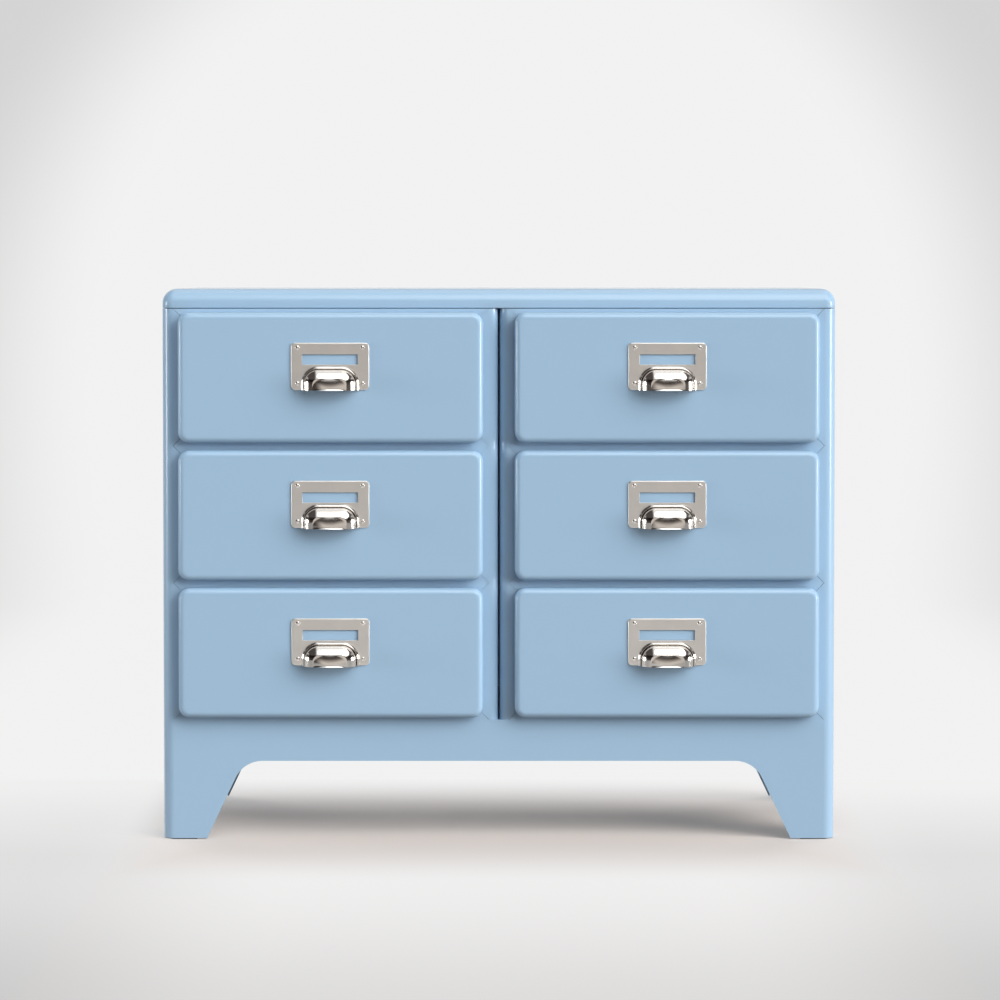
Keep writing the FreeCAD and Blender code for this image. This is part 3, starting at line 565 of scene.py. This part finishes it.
def wall_grids(face_x, inward, corner, has_feet):
    """The grids of a column wall: its side with both bends, a stile for each drawer, its folds.

    The side is the plan line (corner arc, straight side, rear arc, rear fold) drawn from its
    lower edge up to the cap. A stile runs from the corner arc to the opening and back along
    its fold, between two lines at 45 degrees.
    """
    size = sizes()
    top = SEAM_Z - size.cap_gap
    depth = WALL_BACK - FRAME_Y
    rear_start = depth - size.back_bend
    side = arch_stations(depth, corner, rear_start) if has_feet else np.linspace(
        corner, rear_start, 24)
    turn = arc(11)
    rear_turn = turn[::2][1:]
    inset = np.concatenate([
        corner * (1 - np.sin(turn)), np.zeros(len(side) - 1),
        size.back_bend * (1 - np.cos(rear_turn)), [size.back_fold]])
    back = np.concatenate([
        corner * (1 - np.cos(turn)), side[1:],
        depth - size.back_bend * (1 - np.sin(rear_turn)), [depth]])
    levels = np.append(np.linspace(BASE_Z, SEAM_Z, BAY_STEPS * len(ROWS) + 1)[:-1], top)
    levels = np.broadcast_to(levels, (len(inset), len(levels)))
    if has_feet:
        floor = arch_height_at(back, depth)[:, None]
        lower = floor + np.linspace(0, 1, 7)[:-1] * (BASE_Z - floor)
        levels = np.concatenate([lower, levels], axis=1)
    grids = [facing(grid_of((face_x + inward * inset)[:, None], (FRAME_Y + back)[:, None], levels),
                    (-inward, 0, 0))]

    stile = corner + size.rail_half
    stile_in, stile_back = lip_profile(corner, stile, 6)
    rise = stile_in - corner
    for bay in range(len(ROWS)):
        low = BASE_Z + bay * PITCH + rise
        high = np.minimum(BASE_Z + (bay + 1) * PITCH - rise, top)
        level = low[:, None] + np.linspace(0, 1, BAY_STEPS + 1) * (high - low)[:, None]
        grids.append(facing(grid_of((face_x + inward * stile_in)[:, None],
                                    (FRAME_Y + stile_back)[:, None], level),
                            (0.7 * inward, -1, 0)))
    if has_feet:
        line = between_feet(side, depth)[:, None]
        grids.append(facing(grid_of(face_x + inward * np.linspace(0, size.arch_fold, 3),
                                    FRAME_Y + line, arch_height_at(line, depth)), (0, 0, -1)))
    return grids


def apron_grids(face_y, inward, margin):
    """The grids of an apron: its face from arch to deck, and the fold along the arch."""
    size = sizes()
    span = 2 * HALF_WIDTH
    line = arch_stations(span, margin, span - margin)
    floor = arch_height_at(line, span)[:, None]
    face = grid_of(line[:, None] - HALF_WIDTH, face_y,
                   floor + np.linspace(0, 1, 9) * (BASE_Z - floor))
    held = between_feet(line, span)[:, None]
    fold = grid_of(held - HALF_WIDTH, face_y + inward * np.linspace(0, size.arch_fold, 3),
                   arch_height_at(held, span))
    return [facing(face, (0, -inward, 0)), facing(fold, (0, 0, -1))]


def rail_grid(column_x, level, lower=True, upper=True):
    """A rail about a level: a fold, the face with its 45 degree points, and a fold.

    The half length at a height is the opening's half plus what is left of the rail's half
    height, so the ends are points. A half rail stops at its level.
    """
    size = sizes()
    edge = size.rail_half
    z, y = lip_profile(0, edge, 5)
    if lower and upper:
        z, y = np.concatenate([-z[::-1], z[1:]]), np.concatenate([y[::-1], y[1:]])
    elif lower:
        z, y = -z[::-1], y[::-1]
    half = TIP_HALF - np.abs(z) - size.seam * math.sqrt(2) * (np.abs(z) < edge - LIP_BEND)
    rise = np.minimum(level + z, SEAM_Z - size.cap_gap)
    grid = grid_of(column_x + half[:, None] * np.linspace(-1, 1, 13),
                   (FRAME_Y + y)[:, None], rise[:, None])
    return facing(grid, (0, -1, 0))


class CHEST_OT_walls(bpy.types.Operator):
    """Makes both side panels and both partitions, each one folded sheet"""
    bl_idname = "chest.walls"
    bl_label = "Walls"

    def execute(self, context):
        for name, side in SIDES.items():
            joined_grids(f"{name}_side", wall_grids(side * HALF_WIDTH, -side, OUTER_CORNER, True),
                         f"{name}_side_panel")
            joined_grids(f"{name}_inner_wall",
                         wall_grids(side * SLIT_HALF, side, INNER_CORNER, False),
                         f"{name}_partition")
        return {"FINISHED"}


class CHEST_OT_base(bpy.types.Operator):
    """Makes the front and rear aprons with their arches"""
    bl_idname = "chest.base"
    bl_label = "Base"

    def execute(self, context):
        rear = box_of("rear_apron")[1]
        joined_grids("front_base", apron_grids(FRAME_Y, 1, OUTER_CORNER), "front_apron")
        joined_grids("rear_base", apron_grids(rear[1], -1, HALF_WIDTH - rear[0]), "rear_apron")
        return {"FINISHED"}


class CHEST_OT_rails(bpy.types.Operator):
    """Makes the four rails of each column, with open mitre seams at their points"""
    bl_idname = "chest.rails"
    bl_label = "Rails"

    def execute(self, context):
        for name, side in SIDES.items():
            column_x = side * COLUMN_X
            grids = [rail_grid(column_x, BASE_Z, lower=False),
                     rail_grid(column_x, SEAM_Z, upper=False)]
            grids += [rail_grid(column_x, BASE_Z + bay * PITCH) for bay in range(1, len(ROWS))]
            joined_grids(f"{name}_rails", grids, f"{name}_frame_rails")
        return {"FINISHED"}


class CHEST_OT_cap(bpy.types.Operator):
    """Makes the pressed cap: a rounded rectangle whose edges roll over, hollow below"""
    bl_idname = "chest.cap"
    bl_label = "Cap"

    def execute(self, context):
        size = sizes()
        middle = (CAP_LOW + CAP_HIGH) / 2
        half = (CAP_HIGH - CAP_LOW) / 2
        roll, hem = arc(14), arc(5)
        flat_ring = 0.002
        insets, levels = [], []
        for skin in (0.0, size.gauge):
            radius = size.cap_round - skin
            insets.append(np.concatenate([
                skin + size.cap_hem * (1 - np.sin(hem)), skin + radius * (1 - np.cos(roll)),
                [size.cap_round + flat_ring]]))
            levels.append(np.concatenate([
                CAP_LOW[2] + size.cap_hem * (1 - np.cos(hem)),
                CAP_HIGH[2] - size.cap_round + radius * np.sin(roll),
                [CAP_HIGH[2] - skin]]))
        inset = np.concatenate([insets[1][::-1], insets[0]])
        level = np.concatenate([levels[1][::-1], levels[0]])
        corner_fade = size.cap_round * 1.25
        rings = rounded_rings(np.tile(middle[:2], (len(inset), 1)), half[:2] - inset[:, None],
                              OUTER_CORNER * (1 - inset / corner_fade), level)
        closed_shell("cap", rings, CARCASS, "top_cap")
        return {"FINISHED"}


# Drawer pieces


def drawer_pan(name):
    """The pressed front: rings of a rounded rectangle that roll from the sides onto the face,
    then back inside by one gauge, so that the pan is a closed thin shell."""
    size = sizes()
    low, high = box_of(f"{name}_drawer_front")
    centre = ((low + high) / 2)[[0, 2]]
    half = ((high - low) / 2)[[0, 2]]
    roll = arc(10)
    last_ring = size.front_round + 0.003
    inner = size.front_round - size.gauge
    inner_inset = np.concatenate([[size.gauge], size.gauge + inner * (1 - np.cos(roll)),
                                  [last_ring]])
    inner_depth = np.concatenate([[high[1]], low[1] + size.gauge + inner * (1 - np.sin(roll)),
                                  [low[1] + size.gauge]])
    inset = np.concatenate([inner_inset[::-1], [HEM_STEP, 0.0],
                            size.front_round * (1 - np.cos(roll)), [last_ring]])
    depth = np.concatenate([inner_depth[::-1], [high[1], high[1] - HEM_STEP],
                            low[1] + size.front_round * (1 - np.sin(roll)), [low[1]]])
    rings = upright(rounded_rings(np.tile(centre, (len(inset), 1)), half - inset[:, None],
                                  size.front_corner - inset, depth, 10))
    closed_shell(f"{name}_front", rings, f"{name}_drawer", f"{name}_drawer_front")


def plate_piece(name):
    """The label plate: one closed run of rings, out over the rounded edge, across the face to
    the window, through it, round the card recess and back to the outer edge."""
    size = sizes()
    low, high = box_of(f"{name}_label_plate")
    middle = ((low + high) / 2)[[0, 2]]
    half = ((high - low) / 2)[[0, 2]]
    window = np.array([middle[0], high[2] - size.window_drop - size.window_height / 2])
    window_half = np.array([size.window_width, size.window_height]) / 2
    recess_half = window_half + size.card_lap
    back, face = high[1], low[1]
    skin = face + size.plate_skin
    edge = arc(5)
    rows = [(middle, half, size.plate_corner, back)]
    for turn in edge:
        inset = size.plate_edge * (1 - math.cos(turn))
        rows.append((middle, half - inset, size.plate_corner - inset,
                     face + size.plate_edge * (1 - math.sin(turn))))
    rows.append((middle, half - size.plate_edge - STRIP, size.plate_corner - size.plate_edge,
                 face))
    rows.append((window, window_half + WINDOW_SOFT + STRIP, 3 * WINDOW_CORNER, face))
    for turn in edge[::-1]:
        spread = WINDOW_SOFT * (1 - math.cos(turn))
        rows.append((window, window_half + spread, WINDOW_CORNER + spread,
                     face + WINDOW_SOFT * (1 - math.sin(turn))))
    rows += [(window, window_half, WINDOW_CORNER, skin),
             (window, recess_half, WINDOW_CORNER, skin),
             (window, recess_half, WINDOW_CORNER, back)]
    centres, halves, radii, depths = (np.array(column) for column in zip(*rows))
    rings = upright(rounded_rings(centres, halves, radii, depths, 7))
    faces = grid_faces(len(rows), rings.shape[1], wrap_rows=True, wrap_columns=True)
    piece = new_piece(f"{name}_plate", rings, faces, plate_material(), f"{name}_drawer",
                      (f"{name}_label_plate",))
    merge_and_smooth(piece, angle=40.0, closed=True)


def arch_path(half, height, shoulder, count):
    """Points along an arch from its right foot to its left: straight legs, two quarter circles
    of the shoulder radius and a level top, evenly spaced along its length."""
    turn = arc(24)
    leg = np.linspace(0, height - shoulder, 8)[:-1]
    right_x = np.concatenate([np.full(len(leg), half), half - shoulder + shoulder * np.cos(turn)])
    right_z = np.concatenate([leg, height - shoulder + shoulder * np.sin(turn)])
    x = np.concatenate([right_x, -right_x[::-1]])
    z = np.concatenate([right_z, right_z[::-1]])
    travelled = np.concatenate([[0], np.cumsum(np.hypot(np.diff(x), np.diff(z)))])
    even = np.linspace(0, travelled[-1], count)
    return np.stack([np.interp(even, travelled, x), np.interp(even, travelled, z)], axis=-1)


def curve_through(points, per_span=4):
    """A smooth line through points: a Catmull-Rom cubic over each pair of neighbours."""
    points = np.asarray(points, float)
    padded = np.concatenate([2 * points[:1] - points[1:2], points,
                             2 * points[-1:] - points[-2:-1]])
    before, start, end, after = padded[:-3], padded[1:-2], padded[2:-1], padded[3:]
    t = np.linspace(0, 1, per_span + 1)[:-1][:, None, None]
    curve = 0.5 * (2 * start + (end - before) * t
                   + (2 * before - 5 * start + 4 * end - after) * t ** 2
                   + (3 * start - before - 3 * end + after) * t ** 3)
    return np.concatenate([curve.transpose(1, 0, 2).reshape(-1, points.shape[1]), points[-1:]])


def cup_piece(name):
    """The cup: arches drawn in step by step along a profile that climbs the rim's slope, drops
    into the crease and rises over the dome, then a swollen face from the last arch to the mouth.

    The face stands out by the bulge times one less the square of the distance from its middle,
    where that distance is the cubic norm of the shares of its half width and height. Near the
    mouth it flares out further into a lip.
    """
    size = sizes()
    low, high = box_of(f"{name}_cup_pull")
    centre_x = (low[0] + high[0]) / 2
    half = (high[0] - low[0]) / 2
    height = high[2] - low[2]
    depth = high[1] - low[1]
    rim = size.cup_rim
    # The rim's outer slope and its crease, as distances in from the edge and out from the plate
    slope = [(0.0, 0.0), (0.0001, 0.0007), (0.0006, 0.0014), (0.0014, 0.0022), (0.0023, 0.0029),
             (0.0030, 0.0031), (0.0036, 0.0028), (rim - 0.0005, 0.0019), (rim - 0.0001, 0.0012)]
    crease, roll_climb, least_shoulder = 0.0005, 0.64, 0.006
    # The dome's roll: part of a circle, stretched to the roll's width and climb
    turn = np.radians(np.linspace(40, 75, 16))
    across = (np.cos(turn[0]) - np.cos(turn)) / (np.cos(turn[0]) - np.cos(turn[-1]))
    climb = (np.sin(turn) - np.sin(turn[0])) / (np.sin(turn[-1]) - np.sin(turn[0]))
    roll_in = rim + crease + size.cup_roll * across
    roll_top = depth - size.cup_bulge - size.cup_lip
    roll_out = roll_top - roll_climb * size.cup_roll * (1 - climb)
    inset, out = curve_through(slope + list(zip(roll_in, roll_out)), 3).T
    on_dome = inset > rim
    out = np.where(on_dome, np.maximum.accumulate(out * on_dome), out)
    arches = np.stack([
        arch_path(half - step, height - step, max(size.cup_shoulder - step, least_shoulder), 77)
        for step in inset])
    face_arch = arches[-1]
    mouth_share = np.concatenate([np.linspace(0.05, 0.8, 10), np.linspace(0.84, 1.0, 8)])
    wide, tall = half - inset[-1], height - inset[-1]
    mouth = np.linspace(face_arch[0], face_arch[-1], len(face_arch))
    face = face_arch + mouth_share[:, None, None] * (mouth - face_arch)
    away = (np.abs(face[..., 0] / wide) ** 3 + np.abs(face[..., 1] / tall) ** 3) ** (1 / 3)
    swell = 1 - np.minimum(away, 1) ** 2
    lip_share = 0.15
    flare = np.clip(1 - face[..., 1] / (lip_share * tall), 0, 1) ** 2
    face_out = out[-1] + size.cup_bulge * swell + size.cup_lip * flare * swell
    outs = np.concatenate([np.broadcast_to(out[:, None], arches.shape[:2]), face_out])
    rings = np.concatenate([arches, face])
    points = facing(grid_of(centre_x + rings[..., 0], high[1] - outs, low[2] + rings[..., 1]),
                    (0, -1, 0.3))
    piece = new_piece(f"{name}_cup", points, grid_faces(*points.shape[:2]), cup_material(),
                      f"{name}_drawer", (f"{name}_cup_pull",))
    merge_and_smooth(piece, 2e-6, 60.0)
    wall = piece.modifiers.new("wall", "SOLIDIFY")
    wall.thickness = size.cup_wall
    wall.offset = -1.0


def rivet_piece(name):
    """Four rivet heads: a circle whose radius is the cosine and whose rise is the sine of an
    angle, flattened to the height of the solid heads."""
    size = sizes()
    low, high = box_of(f"{name}_pull_rivets")
    rise = high[1] - low[1]
    tilt = arc(7)
    around = np.linspace(0, 2 * math.pi, 25)[:-1]
    radius = size.rivet_radius * np.cos(tilt)[:, None]
    y = high[1] - rise * np.sin(tilt)[:, None]
    head = grid_of(radius * np.cos(around), y, radius * np.sin(around)).reshape(-1, 3)
    vertices, faces, count = [], [], len(head)
    inner = low + size.rivet_radius, high - size.rivet_radius
    for number, (column, level) in enumerate([(0, 0), (1, 0), (1, 1), (0, 1)]):
        vertices.append(head + np.array([inner[column][0], 0, inner[level][2]]))
        faces += (grid_faces(len(tilt), len(around), wrap_columns=True) + number * count).tolist()
        faces.append([number * count + step for step in range(len(around))])
    piece = new_piece(f"{name}_rivets", np.concatenate(vertices), faces, cup_material(),
                      f"{name}_drawer", (f"{name}_pull_rivets",))
    merge_and_smooth(piece, 1e-7, closed=True)


class CHEST_OT_fronts(bpy.types.Operator):
    """Makes the six pressed drawer fronts"""
    bl_idname = "chest.fronts"
    bl_label = "Drawer fronts"

    def execute(self, context):
        for name in DRAWERS:
            drawer_pan(name)
        return {"FINISHED"}


class CHEST_OT_plates(bpy.types.Operator):
    """Makes the six label plates with their windows and rivets"""
    bl_idname = "chest.plates"
    bl_label = "Label plates"

    def execute(self, context):
        for name in DRAWERS:
            plate_piece(name)
            rivet_piece(name)
        return {"FINISHED"}


class CHEST_OT_cups(bpy.types.Operator):
    """Makes the six cup pulls"""
    bl_idname = "chest.cups"
    bl_label = "Cup pulls"

    def execute(self, context):
        for name in DRAWERS:
            cup_piece(name)
        return {"FINISHED"}


class CHEST_OT_finish_solids(bpy.types.Operator):
    """Gives the solids that stay as they are their paint, zinc, nylon and plastic"""
    bl_idname = "chest.finish_solids"
    bl_label = "Kept solids"

    def execute(self, context):
        makers = {"paint": paint_material, "nickel": plate_material, "zinc": zinc_material,
                  "nylon": nylon_material, "pad_plastic": pad_material}
        for entry in frame["record"]["subparts"]:
            solid = frame["nodes"][entry["node"]]
            for slot in solid.material_slots:
                slot.material = makers[entry["material_slot"]]()
        return {"FINISHED"}


# Studio


def hang_lamp(name, kind, place, target):
    """A lamp at a place, turned to a target: its object and its light."""
    lamp = bpy.data.lights.new(name, kind)
    holder = bpy.data.objects.new(name, lamp)
    holder.location = place
    holder.rotation_euler = (Vector(target) - Vector(place)).to_track_quat("-Z", "Y").to_euler()
    bpy.context.collection.objects.link(holder)
    return holder, lamp


def soft_lamp(name, turn, height, spread, strength, tint, mirrored):
    """A broad even lamp far away: turn is degrees to the right of straight ahead, height is
    degrees above the floor, and spread is how many degrees wide it looks. Reflections show it
    only when mirrored is set."""
    across, up = math.radians(turn), math.radians(height)
    towards = (math.sin(across) * math.cos(up), -math.cos(across) * math.cos(up), math.sin(up))
    holder, lamp = hang_lamp(name, "SUN", towards, (0.0, 0.0, 0.0))
    holder.visible_glossy = mirrored
    lamp.angle = math.radians(spread)
    lamp.energy = strength
    lamp.color = tint


def back_lamp(name, place, target, width, height, power):
    """A rectangular lamp behind the chest that neither the camera nor a reflection shows."""
    holder, lamp = hang_lamp(name, "AREA", place, target)
    holder.visible_camera = holder.visible_glossy = False
    lamp.shape = "RECTANGLE"
    lamp.size, lamp.size_y = width, height
    lamp.energy = power


class CHEST_OT_stage(bpy.types.Operator):
    """Sets up the floor, backdrop, lamps, world and the camera"""
    bl_idname = "chest.stage"
    bl_label = "Studio"

    def execute(self, context):
        scene = context.scene
        look = finishes()
        self.sweep(look)
        white = (1.0, 1.0, 1.0)
        soft_lamp("right_panel", 55.0, 22.0, 42.0, 3.06, (1.0, 0.995, 0.985), False)
        soft_lamp("right_strip", 72.0, 3.0, 18.0, 0.92, white, True)
        soft_lamp("front_panel", 25.0, 46.0, 50.0, 1.20, white, True)
        soft_lamp("left_panel", -90.0, 7.0, 24.0, 1.40, (0.95, 0.975, 1.0), False)
        soft_lamp("left_strip", -76.0, 3.0, 16.0, 0.66, (0.95, 0.975, 1.0), True)
        soft_lamp("overhead", 180.0, 60.0, 40.0, 0.4, white, False)
        for name, side in SIDES.items():
            back_lamp(f"back_panel_{name}", (2.2 * side, 2.3, 1.2), (0.0, 0.1, 0.4),
                      1.4, 1.6, 28.0)
        self.world(scene)
        self.camera(scene)
        scene.view_settings.view_transform = "Standard"
        return {"FINISHED"}

    def sweep(self, look):
        """The floor curves up into the backdrop: a quarter circle between two straight runs."""
        width, front, back, bend, rise = 14.0, -9.0, 5.0, 2.0, 7.0
        turn = arc(24)
        y = np.concatenate([[front], np.linspace(-3.0, back - bend, 12),
                            back - bend + bend * np.sin(turn[1:]), [back]])
        z = np.concatenate([np.zeros(13), bend * (1 - np.cos(turn[1:])), [rise]])
        x = np.linspace(-width / 2, width / 2, 15)
        points = facing(grid_of(x[:, None], y, z), (0, -0.3, 1))
        mesh = bpy.data.meshes.new("studio_sweep")
        mesh.from_pydata(points.reshape(-1, 3).tolist(), [],
                         grid_faces(*points.shape[:2]).tolist())
        mesh.materials.append(self.sweep_material(look))
        for face in mesh.polygons:
            face.use_smooth = True
        sweep = bpy.data.objects.new("studio_sweep", mesh)
        bpy.context.collection.objects.link(sweep)

    def sweep_material(self, look):
        """Paper near the chest, which turns to plain light further off, for the rays of the
        camera and of reflections; other rays find only a share of the floor's colour."""
        material = bpy.data.materials.new("studio_paper")
        material.use_nodes = True
        tree = material.node_tree
        shader = tree.nodes["Principled BSDF"]
        shader.inputs["Roughness"].default_value = 0.8
        shader.inputs["Specular IOR Level"].default_value = 0.1
        vector, axes = axes_node(tree, "Object")
        width = math_node(tree, "ABSOLUTE", axes["X"], 0.0)

        # Each ramp: metres it starts and ends at, and its value there
        behind = ramp_node(tree, axes["Y"], 0.02, 0.42, 0.15, 1.0, True)
        aside = ramp_node(tree, width, 0.38, 0.52, 0.15, 0.95, True)
        ahead = ramp_node(tree, axes["Y"], -0.50, -0.24, 0.90, 0.15, True)
        far = math_node(tree, "MAXIMUM", math_node(tree, "MAXIMUM", behind, ahead), aside)
        path = tree.nodes.new("ShaderNodeLightPath")
        seen = math_node(tree, "MAXIMUM", path.outputs["Is Camera Ray"],
                         path.outputs["Is Glossy Ray"])
        bounce_share = 0.20
        paper = mix_node(tree, seen, (*(bounce_share * part for part in look.floor), 1.0),
                         (*look.floor, 1.0))
        tree.links.new(paper, shader.inputs["Base Color"])

        # The glow falls off round a point above the floor, toward the camera and at the flanks
        flat = vector_node(tree, "MULTIPLY", vector, (1.0, 0.0, 1.0))["Vector"]
        distance = vector_node(tree, "DISTANCE", flat, (0.0, 0.0, 0.6))["Value"]
        glow = math_node(tree, "MULTIPLY",
                         ramp_node(tree, distance, 1.05, 1.60, 0.885, 0.66, True),
                         ramp_node(tree, axes["Y"], -1.4, -0.45, 0.80, 1.0, True))
        flank = math_node(tree, "MULTIPLY", ramp_node(tree, axes["Y"], -0.3, 0.3, 0.14, 0.0),
                          ramp_node(tree, width, 0.25, 0.6, 0.0, 1.0, True))
        glow = math_node(tree, "SUBTRACT", glow, flank)
        light = tree.nodes.new("ShaderNodeEmission")
        tree.links.new(glow, light.inputs["Strength"])
        mix = tree.nodes.new("ShaderNodeMixShader")
        tree.links.new(math_node(tree, "MULTIPLY", far, seen), mix.inputs["Fac"])
        tree.links.new(shader.outputs["BSDF"], mix.inputs[1])
        tree.links.new(light.outputs["Emission"], mix.inputs[2])
        tree.links.new(mix.outputs["Shader"], tree.nodes["Material Output"].inputs["Surface"])
        return material

    def world(self, scene):
        """Faint even light; what glossy surfaces see is a room: white above, dark between the
        lamps and warm grey ahead."""
        world = bpy.data.worlds.new("studio_air")
        world.use_nodes = True
        tree = world.node_tree
        axes = axes_node(tree, "Generated")[1]
        white, gap, side_gap, lamp_gap = (
            (1.0, 1.0, 1.0), (0.06, 0.05, 0.045), (0.08, 0.07, 0.07), (0.12, 0.11, 0.11))
        above = tone_ramp(tree, ramp_node(tree, axes["Z"], -1.0, 1.0), (
            (0.0, (0.68, 0.635, 0.592)), (0.54, (0.68, 0.63, 0.585)), (0.635, gap),
            (0.685, gap), (0.735, white), (1.0, white)))
        across = tone_ramp(tree, ramp_node(tree, axes["X"], -1.0, 1.0), (
            (0.0, white), (0.05, white), (0.08, side_gap), (0.34, side_gap), (0.41, white),
            (0.68, white), (0.74, lamp_gap), (0.90, lamp_gap), (0.95, white)))
        room = vector_node(tree, "MULTIPLY", above, across)["Vector"]
        path = tree.nodes.new("ShaderNodeLightPath").outputs
        air = mix_node(tree, path["Is Glossy Ray"], (0.03, 0.03, 0.03, 1.0), room)
        air = mix_node(tree, path["Is Camera Ray"], air, (0.72, 0.72, 0.72, 1.0))
        backdrop = tree.nodes["Background"]
        tree.links.new(air, backdrop.inputs["Color"])
        backdrop.inputs["Strength"].default_value = 1.0
        scene.world = world

    def camera(self, scene):
        """A long lens in front of the chest, a little above its top and tilted slightly down."""
        lens = bpy.data.cameras.new("studio_camera")
        lens.sensor_width = 36.0
        lens.lens = 126.8
        lens.shift_x, lens.shift_y = 0.0012, -0.1
        lens.clip_end = 60.0
        view = bpy.data.objects.new("studio_camera", lens)
        view.location = (0.0, -4.872, 0.7587)
        view.rotation_euler = (math.radians(90.0 - 2.062), 0.0, 0.0)
        bpy.context.collection.objects.link(view)
        scene.camera = view


class CHEST_PT_panel(bpy.types.Panel):
    """Lists the chest's pieces, sizes and finishes"""
    bl_idname = "CHEST_PT_panel"
    bl_label = "Steel drawer chest"
    bl_space_type = "VIEW_3D"
    bl_region_type = "UI"
    bl_category = "Chest"

    def draw(self, context):
        layout = self.layout
        for operator in OPERATORS:
            layout.operator(operator.bl_idname)
        for holder in (context.scene.chest_sizes, context.scene.chest_finishes):
            box = layout.box()
            for field in holder.bl_rna.properties:
                if field.identifier not in ("rna_type", "name"):
                    box.prop(holder, field.identifier)


OPERATORS = (CHEST_OT_finish_solids, CHEST_OT_walls, CHEST_OT_base, CHEST_OT_rails, CHEST_OT_cap,
             CHEST_OT_fronts, CHEST_OT_plates, CHEST_OT_cups, CHEST_OT_stage)
CLASSES = (ChestSizes, ChestFinishes, *OPERATORS, CHEST_PT_panel)


def register():
    """Registers the classes and hangs the sizes and finishes on the scene."""
    for item in CLASSES:
        bpy.utils.register_class(item)
    bpy.types.Scene.chest_sizes = bpy.props.PointerProperty(type=ChestSizes)
    bpy.types.Scene.chest_finishes = bpy.props.PointerProperty(type=ChestFinishes)


def unregister():
    """Takes the classes and the scene's properties away again."""
    del bpy.types.Scene.chest_finishes
    del bpy.types.Scene.chest_sizes
    for item in reversed(CLASSES):
        bpy.utils.unregister_class(item)


def main():
    """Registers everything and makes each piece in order."""
    register()
    for operator in OPERATORS:
        group, name = operator.bl_idname.split(".")
        getattr(getattr(bpy.ops, group), name)()


if __name__ == "__main__":
    main()
